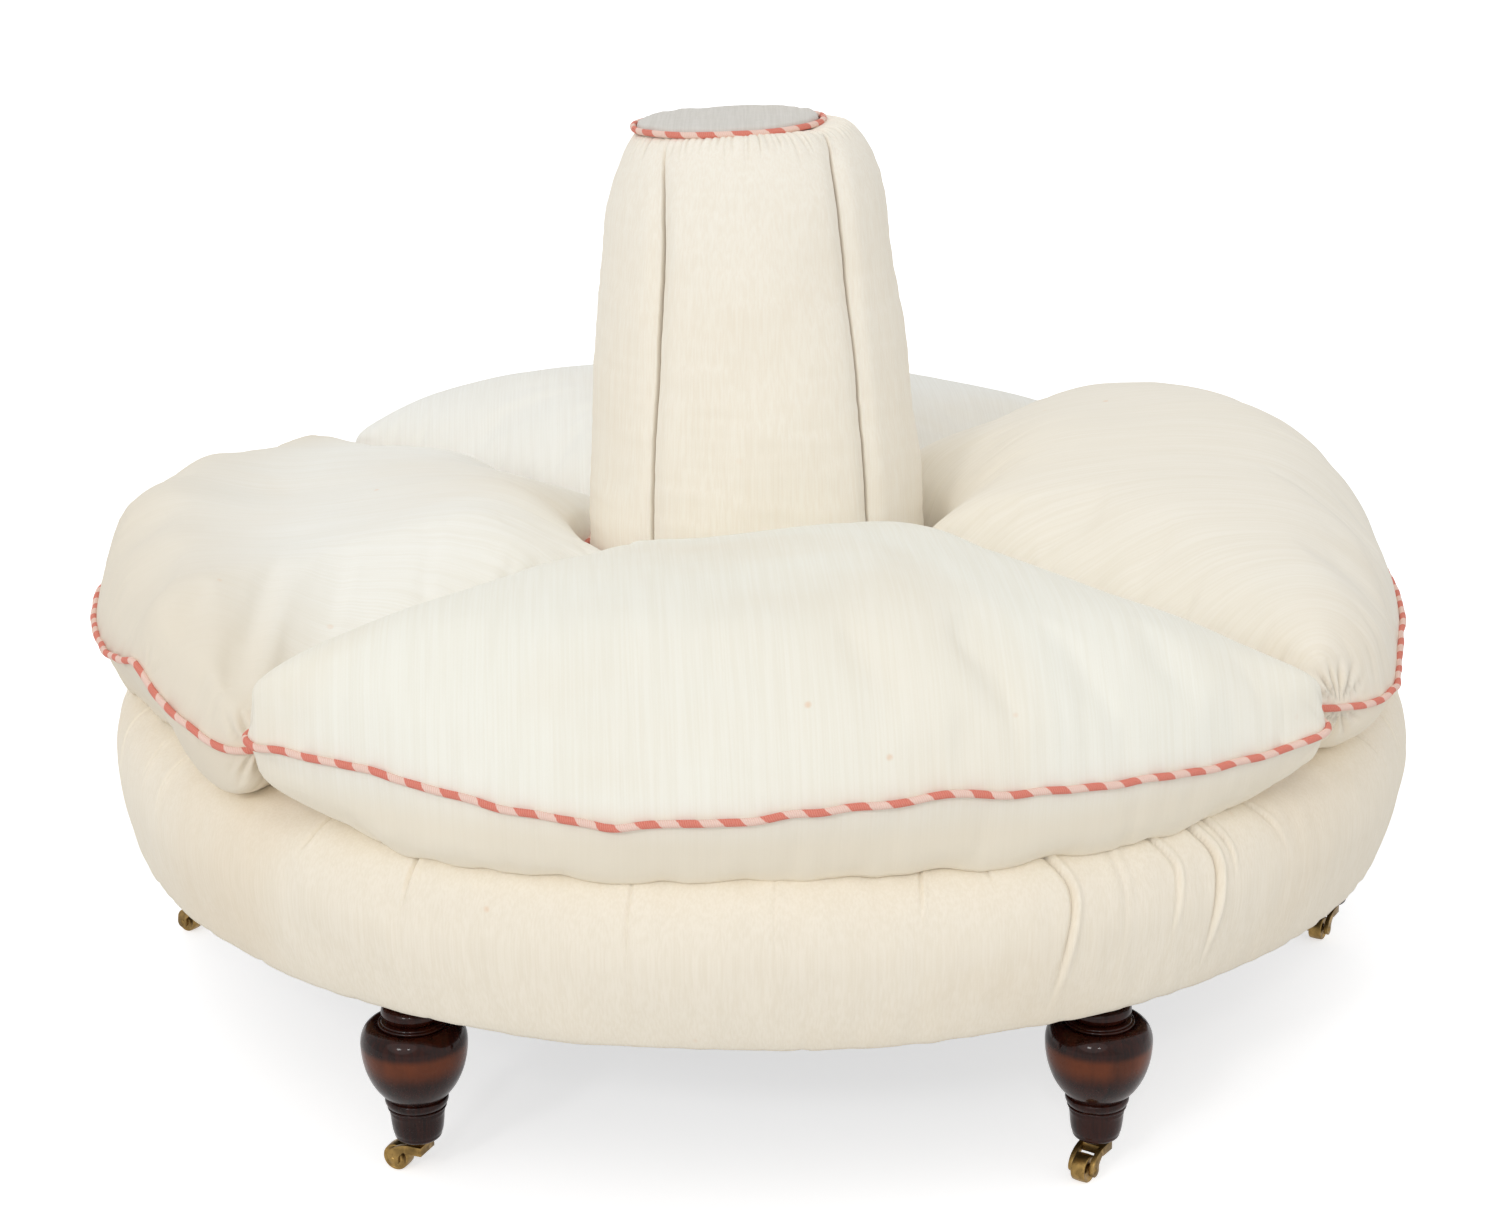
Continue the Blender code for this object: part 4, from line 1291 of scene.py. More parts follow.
@dataclass
class PaddedColumn:
    """The tapered column: pleated cover with gathers under its cap, cap disc and cap piping."""

    outline_shares: tuple[Corner, ...] = (
        (0.985, 0.000), (1.000, 0.086), (0.986, 0.275), (0.942, 0.465), (0.884, 0.650), (0.834, 0.760),
        (0.783, 0.858), (0.718, 0.933), (0.636, 0.985), (0.560, 1.000), (0.460, 1.000),
    )
    radius: float = 0.1780
    thickness: float = 0.0016
    segments: int = 1600
    rows: int = 120
    lean: float = 0.0140
    tilt: float = math.radians(1.9)
    crown_rise: float = 0.0022
    shoulder_bulge: float = 0.0055
    cap_shift: float = -0.0285
    piping_radius: float = 0.0032
    pleats: tuple[Crease, ...] = (
        Crease(
            (
                (-133.6, 0.885, 0.0), (-129.8, 0.850, 0.4), (-126.7, 0.790, 1.0), (-126.6, 0.751, 1.1),
                (-126.3, 0.683, 0.7), (-127.4, 0.583, 0.6), (-127.7, 0.512, 0.5), (-127.6, 0.352, 0.5),
            ),
            0.0085, 0.0125, 0.15, 0.0150, 0.0017,
        ),
        Crease(
            (
                (-36.0, 0.892, 0.0), (-40.5, 0.880, 0.3), (-45.8, 0.846, 0.9), (-47.2, 0.801, 1.0),
                (-46.9, 0.764, 1.0), (-48.1, 0.674, 0.9), (-48.5, 0.582, 0.9), (-48.4, 0.504, 1.0),
                (-48.4, 0.352, 1.0),
            ),
            0.0060, 0.0110, 0.15, 0.0095, 0.0015,
        ),
        Crease(
            ((50.0, 0.884, 0.6), (46.0, 0.830, 1), (44.6, 0.730, 1), (44.8, 0.560, 0.8), (44.4, 0.352, 0.7)),
            0.0050, 0.0100, 0.2, 0.0080, 0.0011,
        ),
        Crease(
            (
                (129.0, 0.884, 0.6), (133.5, 0.830, 1), (135.0, 0.720, 0.9), (134.6, 0.560, 0.8),
                (135.2, 0.352, 0.7),
            ),
            0.0052, 0.0100, 0.2, 0.0075, 0.0012,
        ),
    )
    waves: tuple[Wave, ...] = ((0.0011, 0.13, (1, 1, 1)), (0.0004, 0.045, (0.5, 0.5, 2.2)))
    crowding: float = 0.80
    gather_count: int = 88
    gather_length: Span = (0.008, 0.034)
    gather_width: Span = (0.0009, 0.0018)
    gather_depth: Span = (0.0006, 0.0021)
    gather_painted_shade: float = 0.26
    cap_rumple: float = 0.0007
    cap_pucker: float = 0.0003
    cap_pucker_count: int = 38
    give_depth: float = 0.0170
    give_width: float = 0.0220
    seed: int = 29

    def __post_init__(self) -> None:
        """Take the heights of the column from the frame."""
        low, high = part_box("column_cover")
        self.foot = low.z
        self.top = high.z

    def shift(self, heights: Array) -> Array:
        """Return how far the column has settled sideways at each height."""
        share = np.clip((heights - self.foot) / (self.top - self.foot), 0, 1)
        return -self.lean * share**1.3

    def cover(self) -> Piece:
        """Build the cover as one sheet with pleats and gathers, thickened inwards.

        Returns:
            The cover.
        """
        height = self.top - self.foot
        shares = [(self.radius * r, self.foot + height * h) for r, h in self.outline_shares]
        outline = even_path(smooth_path(shares, 12), self.rows)
        normals = outline_normals(outline)
        turn, row = self._threads(outline)
        radii = outline[row, 0]
        heights = outline[row, 1]
        shown = around_axis(turn, radii, heights).reshape(-1, 3)
        push = unevenness(shown, self.seed, self.waves).reshape(turn.shape)
        folds = np.zeros_like(push)
        for pleat in self.pleats:
            push += pleat.push(turn, heights, radii)
            # Painted shade in the pleats.
            folds = np.maximum(folds, pleat.shade(turn, heights, radii))
        gathers = self._gathers(turn, heights, radii)
        push += gathers
        # Painted shade in the gathers.
        folds = np.maximum(folds, np.clip(-gathers / 0.0024, 0, 1) * self.gather_painted_shade)
        on_shoulder = hump(heights - (self.top - 0.045), 0.050) * hump(turn_gap(turn, -0.15), 0.85)
        push += self.shoulder_bulge * on_shoulder
        radii = radii + push * normals[row, 0]
        heights = heights + push * normals[row, 1]
        x = radii * np.cos(turn)
        crown = ease(self.top - 0.11, self.top - 0.01, heights)
        heights = heights + crown * (self.crown_rise + x * math.tan(self.tilt))
        points = np.stack([x + self.shift(heights), radii * np.sin(turn), heights], -1)
        cover = round_object("column_cover_cloth", points)
        note_fold_shade(cover, folds)
        thicken(cover, self.thickness)
        return cover

    def _threads(self, outline: Array) -> tuple[Array, Array]:
        """Return the angle and the row of each point, with threads that crowd along the pleats.

        Args:
            outline: Points of (radius, height), one row each.

        Returns:
            The angles and the row numbers, one grid each.
        """
        middles = np.array([pleat.middle(outline[:, 1]) for pleat in self.pleats])
        gaps = (np.roll(middles, -1, 0) - middles) % FULL_TURN
        share = np.arange(self.segments // len(self.pleats)) / (self.segments // len(self.pleats))
        share = share - self.crowding * np.sin(FULL_TURN * share) / FULL_TURN
        turn = (middles[:, None] + gaps[:, None] * share[None, :, None]).reshape(-1, len(outline))
        return turn, np.broadcast_to(np.arange(len(outline)), turn.shape)

    def _gathers(self, turn: Array, heights: Array, radii: Array) -> Array:
        """Return the short gathers that run down from the cap.

        Args:
            turn: Angle about the axis, in radians.
            heights: Height above the floor.
            radii: Distance from the axis.

        Returns:
            How far each place moves out, in metres.
        """
        draw = np.random.default_rng(self.seed)
        push = np.zeros_like(heights)
        drop = self.top - heights + np.clip(0.105 - radii, 0, 1)
        for number in range(self.gather_count):
            middle = FULL_TURN * (number + draw.uniform(-0.35, 0.35)) / self.gather_count
            length = draw.uniform(*self.gather_length)
            width = draw.uniform(*self.gather_width)
            depth = draw.uniform(*self.gather_depth)
            drift = draw.uniform(-0.06, 0.06)
            across = turn_gap(turn, middle + drift * drop / 0.05) * radii
            fade = ease(length, 0.2 * length, drop)
            push += depth * fade * (0.45 * hump(across - 1.8 * width, 1.6 * width) - hump(across, width))
        return push

    def give(self, points: Array) -> Array:
        """Return how far the stuffing gives way under the pleats at each point.

        Args:
            points: Places, one row each.

        Returns:
            Distances in metres.
        """
        x = points[:, 0] - self.shift(points[:, 2])
        turn = np.arctan2(points[:, 1], x)
        away = np.hypot(x, points[:, 1])
        across = [turn_gap(turn, pleat.middle(points[:, 2])) * away for pleat in self.pleats]
        near = np.max(hump(np.array(across), self.give_width), axis=0)
        return self.give_depth * near * ease(self.top - 0.030, self.top - 0.060, points[:, 2])

    def cap(self) -> Piece:
        """Build the cap: a thin round pad with a slightly rumpled top.

        Returns:
            The cap.
        """
        low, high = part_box("column_cap")
        reach = (high.x - low.x) / 2
        rings, steps = 46, 160
        shares = np.linspace(0.002, 1.0, rings)
        turn, share = np.meshgrid(np.arange(steps) * FULL_TURN / steps, shares, indexing="ij")
        dome = (1 - share**34) ** 0.5
        flat = np.stack([reach * share * np.cos(turn), reach * share * np.sin(turn)], -1)
        rumple = self.cap_rumple * soft_noise(flat.reshape(-1, 2), 41, 0.035).reshape(share.shape)
        ripple = np.sin(self.cap_pucker_count * turn + 2 * np.sin(3 * turn))
        pucker = self.cap_pucker * ripple * ease(0.85, 0.97, share)
        thick = high.z - low.z
        upper = 1.22 * thick * dome + 0.20 * thick * (1 - share**2) + (rumple + pucker) * dome**0.5
        lower = -0.10 * thick * dome
        sheet = []
        for rise in (upper, lower):
            heights = low.z + self.crown_rise + rise + flat[..., 0] * math.tan(self.tilt)
            sheet.append(np.concatenate([flat + (self.cap_shift, 0.0), heights[..., None]], -1))
        count = steps * rings
        index = np.arange(count).reshape(steps, rings)
        under = index + count
        under[:, -1] = index[:, -1]
        faces = [round_faces(index), round_faces(under)[:, ::-1]]
        points = np.vstack([part.reshape(-1, 3) for part in sheet])
        cap = cloth_object("column_cap_pad", points, np.vstack(faces))
        close_mesh(cap)
        return cap

    def cap_piping(self) -> Piece:
        """Build the piping round the cap.

        Returns:
            The cord.
        """
        low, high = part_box("column_cap_piping")
        radius = (high.x - low.x) / 2 - self.piping_radius
        turn = np.arange(300) * FULL_TURN / 300
        wander = 0.0006 * np.sin(3 * turn + 1.0) + 0.0005 * np.sin(7 * turn)
        x = (radius + wander) * np.cos(turn)
        heights = low.z + self.crown_rise + 0.7 * self.piping_radius + x * math.tan(self.tilt) + 0.5 * wander
        path = np.stack([x + self.cap_shift, (radius + wander) * np.sin(turn), heights], 1)
        return cord_object("column_cap_cord", path, self.piping_radius)

    def build(self) -> None:
        """Build, dress and fix the soft pieces of the column."""
        tones = (srgb(250, 244, 231), srgb(246, 238, 223))
        cream = CreamCloth("column_cotton", *tones, Run.UPRIGHT, 0.0, 0.14, "column_cloth")
        cover = wardrobe.dress(self.cover(), cream)
        tones = (srgb(220, 216, 209), srgb(212, 208, 200))
        pale = CreamCloth("cap_cotton", *tones, Run.OUTWARD, QUARTER_TURN, 0.20, "column_cloth")
        cap = wardrobe.dress(self.cap(), pale)
        cord = wardrobe.dress(self.cap_piping(), StripedPiping())
        for piece, node in ((cover, "column_cover"), (cap, "column_cap"), (cord, "column_cap_piping")):
            stand_for(piece, "root", node)
        folds = (len(self.pleats), self.gather_count)
        log.info("column: cover with %d pleats and %d gathers, cap and piping", *folds)


def close_mesh(piece: Piece) -> None:
    """Drop unused points, close the small holes at poles and face outwards.

    Args:
        piece: The object.
    """
    work = bmesh.new()
    work.from_mesh(piece.data)
    bmesh.ops.remove_doubles(work, verts=work.verts, dist=POLE_DISTANCE)
    loose = [vert for vert in work.verts if not vert.link_faces]
    bmesh.ops.delete(work, geom=loose, context="VERTS")
    rims = [edge for edge in work.edges if edge.is_boundary]
    bmesh.ops.holes_fill(work, edges=rims, sides=0)
    bmesh.ops.recalc_face_normals(work, faces=work.faces)
    work.to_mesh(piece.data)
    work.free()
    piece.data.shade_smooth()


@dataclass(frozen=True)
class Swell:
    """A part of a cushion that is fuller, or flatter, than its even crown."""

    place: Corner
    amount: float
    reach: float


@dataclass(frozen=True)
class CornerPull:
    """How far the seam lies off its even outline near a place in plan."""

    place: Corner
    move: Corner
    reach: float


@dataclass(frozen=True)
class Gather:
    """Pleats that fan out from a place on the seam."""

    place: Corner
    depth: float
    reach: float
    pleats: int


@dataclass
class FeatherCushion:
    """A knife-edged feather cushion over one quarter of the seat, with piping in its seam.

    Plan places are written about +X, with the column at the origin, and the cushion is then turned
    to its side of the seat.
    """

    side: str
    turned: float
    crown: float
    belly_level: float
    tone: Color
    shade: Color
    seam: tuple[Corner, ...]
    reach: float = 0.6880
    crown_power: float = 0.42
    belly_power: float = 0.30
    side_fullness: float = 2.4
    outer_fullness: float = 2.1
    inner_fullness: float = 2.1
    inner_seam: tuple[Corner, ...] = ((-50, 0.420), (50, 0.420))
    swells: tuple[Swell, ...] = ()
    pulls: tuple[CornerPull, ...] = ()
    gathers: tuple[Gather, ...] = ()
    tucks: tuple[Swell, ...] = ()
    # Painted shade towards the outer rim, and painted warm shade on the belly below the given height.
    rim_painted_shade: float = 0.0
    painted_warm_shade_below: float = 0.405
    corner_radius: float = 0.0320
    inner_corner_radius: float = 0.0180
    throat: float = 0.1897
    inset: float = 0.0072
    draw_in: float = 0.0080
    across_cells: int = 104
    outward_cells: int = 72
    piping_radius: float = 0.0034
    seam_softness: float = 3.2
    pressure: float = 3.0
    growth: float = 0.012
    most_move: float = 0.016
    seam_wander: Wave = (0.0011, 0.11, (1, 1, 1))
    wrinkle: Wave = (0.0016, 0.17, (1, 1, 1))
    cord_wander: Wave = (0.0007, 0.045, (1, 1, 1))
    cord_rise: Wave = (0.0008, 0.055, (1, 1, 1))
    cord_step: float = 0.0026
    gather_painted_shade: float = 0.45
    pucker_reach: Span = (0.012, 0.060)
    pucker_width: Span = (0.0035, 0.0080)
    pucker_depth: Span = (0.0003, 0.0017)
    seed: int = 1

    def build(self, drum: SeatDrum) -> None:
        """Build the cushion and its piping, and fix them to their body.

        Args:
            drum: The drum that it lies on.
        """
        body = f"{self.side}_cushion"
        cushion = self._shell(drum)
        self._fill(cushion)
        self._refine(cushion, drum)
        name = f"{self.side}_cushion_cotton"
        # The cloth's real staining, its slot, and its painted shade on the belly and the rim.
        stains_and_painted_shade = (0.22, "cushion_cloth", self.painted_warm_shade_below, self.rim_painted_shade)
        cloth = CreamCloth(name, self.tone, self.shade, Run.OUTWARD, self.turned, *stains_and_painted_shade)
        wardrobe.dress(cushion, cloth)
        stand_for(cushion, body, f"cushion_{self.side}")
        piping = wardrobe.dress(self._piping(), StripedPiping())
        stand_for(piping, body, f"cushion_piping_{self.side}")
        top = read_points(cushion.data)[:, 2].max()
        faces = len(cushion.data.polygons)
        log.info("%s cushion: crown %.3f m above the floor, %d faces", self.side, top, faces)

    def _half_outline(self) -> tuple[Array, Array, Array]:
        """Return the outer, side and inner stretches of the seam's far half, in plan.

        Returns:
            Points in plan, one row each.
        """
        diagonal = QUARTER_TURN / 2
        square = diagonal + QUARTER_TURN
        outer_distance = self.reach - self.corner_radius
        outer_angle = diagonal - math.asin((self.inset + self.corner_radius) / outer_distance)
        outer_middle = (outer_distance * math.cos(outer_angle), outer_distance * math.sin(outer_angle))
        inner_distance = self.throat + self.inner_corner_radius
        inner_angle = diagonal - math.asin((self.inset + self.inner_corner_radius) / inner_distance)
        inner_middle = (inner_distance * math.cos(inner_angle), inner_distance * math.sin(inner_angle))
        outer_half = (outer_angle + square) / 2
        inner_half = (square + inner_angle + math.pi) / 2
        radii = (self.corner_radius, self.corner_radius)
        inner_radii = (self.inner_corner_radius, self.inner_corner_radius)
        outer = arc((0, 0), (self.reach, self.reach), 0, outer_angle, 60)[:-1]
        outer += arc(outer_middle, radii, outer_angle, outer_half, 8)
        first = arc(outer_middle, radii, outer_half, square, 8)
        last = arc(inner_middle, inner_radii, square, inner_half, 6)
        share = np.linspace(0, 1, 41)[:, None]
        inward = np.array((math.cos(square), math.sin(square))) * -self.draw_in
        start, stop = np.array(first[-1]), np.array(last[0])
        straight = start + (stop - start) * share + inward * np.sin(math.pi * share)
        side = np.vstack([first[:-1], straight[:-1], last])
        inner = arc(inner_middle, inner_radii, inner_half, inner_angle + math.pi, 6)[:-1]
        inner += arc((0, 0), (self.throat, self.throat), inner_angle, 0, 20)
        return np.array(outer), side, np.array(inner)

    def _raise(self, plan: Array) -> Array:
        """Pull the outline at its corners and give each place of the seam its height.

        Args:
            plan: Points of the seam in plan.

        Returns:
            Places of the seam.
        """
        moved = plan.copy()
        for pull in self.pulls:
            strength = hump(np.linalg.norm(plan - pull.place, axis=1), pull.reach)
            moved += strength[:, None] * np.array(pull.move)
        knots = np.array(self.seam)
        degrees = np.degrees(np.arctan2(plan[:, 1], plan[:, 0]))
        around = np.linspace(-60, 60, 481)
        near = hump(degrees[:, None] - around, self.seam_softness)
        outer = near @ np.interp(around, knots[:, 0], knots[:, 1]) / near.sum(1)
        share = ease(0.22, 0.60, np.linalg.norm(plan, axis=1))
        inner = np.interp(degrees, *np.array(self.inner_seam).T)
        rise = inner + (outer - inner) * share
        wander = unevenness(np.column_stack([plan, rise]), self.seed + 70, [self.seam_wander])
        return np.column_stack([moved, rise + wander])

    def _edges(self) -> tuple[Array, Array, Array, Array]:
        """Return the outer, inner, near and far edges of the seam, evenly spaced.

        Returns:
            Places along each edge, one row each.
        """
        outer, side, inner = self._half_outline()
        flip = np.array((1.0, -1.0))
        half = self.across_cells // 2 + 1
        outer = even_path(outer, half)
        inner = even_path(inner, half)[::-1]
        side = even_path(side[::-1], self.outward_cells + 1)
        whole_outer = np.vstack([(outer * flip)[:0:-1], outer])
        whole_inner = np.vstack([(inner * flip)[:0:-1], inner])
        return tuple(self._raise(edge) for edge in (whole_outer, whole_inner, side * flip, side))

    def _seam_surface(self) -> Array:
        """Return a smooth grid of places spanned by the four edges of the seam.

        Returns:
            The grid: across, outwards, place.
        """
        outer, inner, near, far = self._edges()
        u = np.linspace(0, 1, self.across_cells + 1)[:, None, None]
        v = np.linspace(0, 1, self.outward_cells + 1)[None, :, None]
        ruled = (1 - v) * inner[:, None] + v * outer[:, None] + (1 - u) * near[None] + u * far[None]
        low = (1 - u) * (1 - v) * inner[0] + u * (1 - v) * inner[-1]
        corners = low + (1 - u) * v * outer[0] + u * v * outer[-1]
        return ruled - corners

    def _shell(self, drum: SeatDrum) -> Piece:
        """Build the closed case: a crowned top and a belly that share the seam.

        Args:
            drum: The drum that it lies on.

        Returns:
            The case.
        """
        seam = self._seam_surface()
        u = np.linspace(0, 1, self.across_cells + 1)[:, None]
        v = np.linspace(0, 1, self.outward_cells + 1)[None, :]
        dome = self._dome(u, v)
        gain = np.ones_like(dome)
        for swell in self.swells:
            gain += swell.amount * hump(np.linalg.norm(seam[..., :2] - swell.place, axis=-1), swell.reach)
        top = seam.copy()
        top[..., 2] += self.crown * gain * dome**self.crown_power
        bottom = seam.copy()
        power = np.full_like(dome, self.belly_power)
        for tuck in self.tucks:
            power += tuck.amount * hump(np.linalg.norm(seam[..., :2] - tuck.place, axis=-1), tuck.reach)
        bottom[..., 2] += (self.belly_level - seam[..., 2]) * np.minimum(1.25 * dome**power, 1)
        rows, columns = dome.shape
        count = rows * columns
        index = np.arange(count).reshape(rows, columns)
        under = index + count
        for edge in (np.s_[0, :], np.s_[-1, :], np.s_[:, 0], np.s_[:, -1]):
            under[edge] = index[edge]
        points = np.vstack([top.reshape(-1, 3), bottom.reshape(-1, 3)])
        faces = np.vstack([grid_faces(index)[:, ::-1], grid_faces(under)])
        used, faces = np.unique(faces, return_inverse=True)
        faces = faces.reshape(-1, 4)
        points = points[used]
        points = self._rest(points, drum, CASE_GAP)
        side = np.where(used < count, 1.0, -1.0)
        on_seam = (dome.ravel() < 1e-9)[used % count]
        side[on_seam] = 0.0
        points = self._to_side(points)
        cushion = cloth_object(f"cushion_{self.side}_case", points, faces)
        place = used % count
        across, outward = np.repeat(u.ravel(), columns)[place], np.tile(v.ravel(), rows)[place]
        for name, values in (("side", side), ("u", across), ("v", outward)):
            note_values(cushion, name, values)
        return cushion

    def _rest(self, points: Array, drum: SeatDrum, gap: float) -> Array:
        """Return the points lifted to lie a gap off the top of the drum where they would sink in."""
        deck = drum.surface_height(np.linalg.norm(points[:, :2], axis=1)) + gap
        return np.column_stack([points[:, :2], np.maximum(points[:, 2], deck)])

    def _dome(self, u: Array, v: Array) -> Array:
        """Return 0 along the seam rising to about 1 in the middle, with blunt corners.

        Args:
            u: Share of the way across.
            v: Share of the way outwards.

        Returns:
            Shares of the full height.
        """
        across = np.clip(1 - np.abs(2 * u - 1) ** self.side_fullness, 0, 1)
        fullness = np.where(v > 0.5, self.outer_fullness, self.inner_fullness)
        outward = np.clip(1 - np.abs(2 * v - 1) ** fullness, 0, 1)
        product = across * outward
        return product * math.sqrt(2) / np.sqrt(np.maximum(across**2 + outward**2, 1e-12))

    def _to_side(self, points: Array) -> Array:
        """Turn places written about +X to this cushion's side of the seat."""
        return points @ np.array(Matrix.Rotation(self.turned, 3, "Z")).T

    def _from_side(self, points: Array) -> Array:
        """Turn places on the seat back to the cushion's own plan."""
        return points @ np.array(Matrix.Rotation(-self.turned, 3, "Z")).T

    def _values(self, mesh: bpy.types.Mesh, name: str) -> Array:
        """Read one of the case's own values at each point.

        Args:
            mesh: The case's mesh.
            name: Name of the values.

        Returns:
            The values.
        """
        values = np.empty(len(mesh.vertices), np.float32)
        mesh.attributes[name].data.foreach_get("value", values)
        return values.astype(float)

    def _fill(self, cushion: Piece) -> None:
        """Swell the case with feathers by a cloth simulation, held at its seam.

        Args:
            cushion: The case.
        """
        scene = bpy.context.scene
        start = read_points(cushion.data)
        held = np.flatnonzero(np.abs(self._values(cushion.data, "side")) < 0.5)
        group = cushion.vertex_groups.new(name="seam")
        group.add(held.tolist(), 1.0, "REPLACE")
        cloth = cushion.modifiers.new("feathers", "CLOTH")
        for name, value in FEATHER_SETTINGS.items():
            setattr(cloth.settings, name, value)
        cloth.settings.uniform_pressure_force = self.pressure
        cloth.settings.shrink_min = -self.growth
        cloth.settings.vertex_group_mass = group.name
        cloth.settings.effector_weights.gravity = 0
        cloth.collision_settings.use_collision = False
        cloth.point_cache.frame_start = 1
        cloth.point_cache.frame_end = FILL_FRAMES
        for step in range(1, FILL_FRAMES + 1):
            scene.frame_set(step)
        shown = cushion.evaluated_get(bpy.context.evaluated_depsgraph_get())
        filled = read_points(shown.data)
        cushion.modifiers.clear()
        cushion.vertex_groups.clear()
        scene.frame_set(1)
        move = filled - start
        length = np.linalg.norm(move, axis=1, keepdims=True)
        limit = self.most_move * np.tanh(length / self.most_move)
        points = start + move * limit / np.maximum(length, 1e-9)
        write_points(cushion.data, points)
        log.info("%s cushion: filled, points moved up to %.1f mm", self.side, 1000 * limit.max())

    def _refine(self, cushion: Piece, drum: SeatDrum) -> None:
        """Subdivide the case and add seam puckers, gathers and soft wrinkles.

        Args:
            cushion: The case.
            drum: The drum that it lies on.
        """
        mesh = cushion.data
        side = self._values(mesh, "side")
        ends = np.empty(len(mesh.edges) * 2, np.int64)
        mesh.edges.foreach_get("vertices", ends)
        on_seam = (np.abs(side[ends.reshape(-1, 2)]) < 0.5).all(1)
        crease = mesh.attributes.new("crease_edge", "FLOAT", "EDGE")
        crease.data.foreach_set("value", on_seam.astype(np.float32))
        finer = cushion.modifiers.new("finer", "SUBSURF")
        finer.levels = 1
        finer.render_levels = 1
        settle(cushion)
        self._split_at_gathers(cushion.data)
        mesh = cushion.data
        points = read_points(mesh)
        normals = read_normals(mesh)
        side = self._values(mesh, "side")
        u = self._values(mesh, "u")
        v = self._values(mesh, "v")
        push = self._puckers(u, v, side)
        fans = self._fans(self._from_side(points), side)
        push += fans
        # Painted shade between the pleats of the gathers.
        note_fold_shade(cushion, self.gather_painted_shade * (-fans / 0.0050) * ease(0.1, 0.5, np.abs(side)))
        push += unevenness(points, self.seed + 90, [self.wrinkle]) * ease(0.0, 0.2, np.abs(side))
        points += normals * (push * ease(0.0, 0.6, np.abs(side)))[:, None]
        write_points(mesh, self._rest(points, drum, REST_GAP))
        for name in ("side", "u", "v"):
            mesh.attributes.remove(mesh.attributes[name])
        mesh.shade_smooth()

    def _puckers(self, u: Array, v: Array, side: Array) -> Array:
        """Return the short soft puckers that the seam draws into the cloth on both sides.

        Args:
            u: Share of the way across.
            v: Share of the way outwards.
            side: 1 on the top, -1 on the belly and 0 on the seam.

        Returns:
            How far each place moves out, in metres.
        """
        draw = np.random.default_rng(self.seed)
        width = self.reach * QUARTER_TURN
        depth_of_plan = self.reach - self.throat
        push = np.zeros_like(u)
        edges = (
            (u * width, (1 - v) * depth_of_plan, width, 44),
            (u * self.throat * QUARTER_TURN, v * depth_of_plan, self.throat * QUARTER_TURN, 12),
            (v * depth_of_plan, u * width * 0.65, depth_of_plan, 24),
            (v * depth_of_plan, (1 - u) * width * 0.65, depth_of_plan, 24),
        )
        for along, inward, length, count in edges:
            for number in range(count):
                middle = length * (number + draw.uniform(0.1, 0.9)) / count
                reach = draw.uniform(*self.pucker_reach)
                broad = draw.uniform(*self.pucker_width)
                depth = draw.uniform(*self.pucker_depth)
                lean = draw.uniform(-0.25, 0.25)
                face = draw.choice((-1.0, 1.0))
                across = along - middle - lean * inward
                fade = ease(reach, 0.2 * reach, inward) * ease(-0.1, 0.6, side * face)
                push -= depth * fade * (hump(across, broad) - 0.5 * hump(across - 2 * broad, 1.5 * broad))
        return push

    def _middles(self, spots: Array, side: Array) -> list[Array]:
        """Return the place on the seam where each gather starts, in the cushion's own plan."""
        seam = spots[np.abs(side) < 0.05]
        return [seam[np.linalg.norm(seam[:, :2] - gather.place, axis=1).argmin()] for gather in self.gathers]

    def _split_at_gathers(self, mesh: bpy.types.Mesh) -> None:
        """Split the faces round each gather, so that its pleats come out sharp.

        Args:
            mesh: The case's mesh.
        """
        spots = self._from_side(read_points(mesh))
        near = np.zeros(len(spots), bool)
        for gather, middle in zip(self.gathers, self._middles(spots, self._values(mesh, "side"))):
            near |= np.linalg.norm(spots - middle, axis=1) < 1.35 * gather.reach
        work = bmesh.new()
        work.from_mesh(mesh)
        edges = [edge for edge in work.edges if all(near[vert.index] for vert in edge.verts)]
        bmesh.ops.subdivide_edges(work, edges=edges, cuts=3, use_grid_fill=True)
        work.to_mesh(mesh)
        work.free()

    def _fans(self, spots: Array, side: Array) -> Array:
        """Return the pleats that fan out from pulled places of the seam, over the top and the belly.

        Args:
            spots: Places in the cushion's own plan.
            side: 1 on the top, -1 on the belly and 0 on the seam.

        Returns:
            How far each place moves out, in metres.
        """
        push = np.zeros(len(spots))
        for gather, middle in zip(self.gathers, self._middles(spots, side)):
            away = spots - middle
            outward = np.array((*middle[:2], 0.0)) / np.linalg.norm(middle[:2])
            along = away @ np.cross((0.0, 0.0, 1.0), outward)
            off_seam = np.hypot(away @ outward, away[:, 2]) * np.sign(side)
            distance = np.hypot(along, off_seam)
            angle = np.arctan2(off_seam, along)
            strength = ease(0.0, 0.010, distance) * ease(gather.reach, 0.2 * gather.reach, distance)
            off_edge = ease(0.0, 0.2, np.abs(side))
            wave = 1 - 2 * np.abs(np.sin(gather.pleats / 2 * (angle + 0.12 * np.sin(3 * angle)))) ** 0.8
            push -= gather.depth * strength * off_edge * (wave + 0.3)
        return push

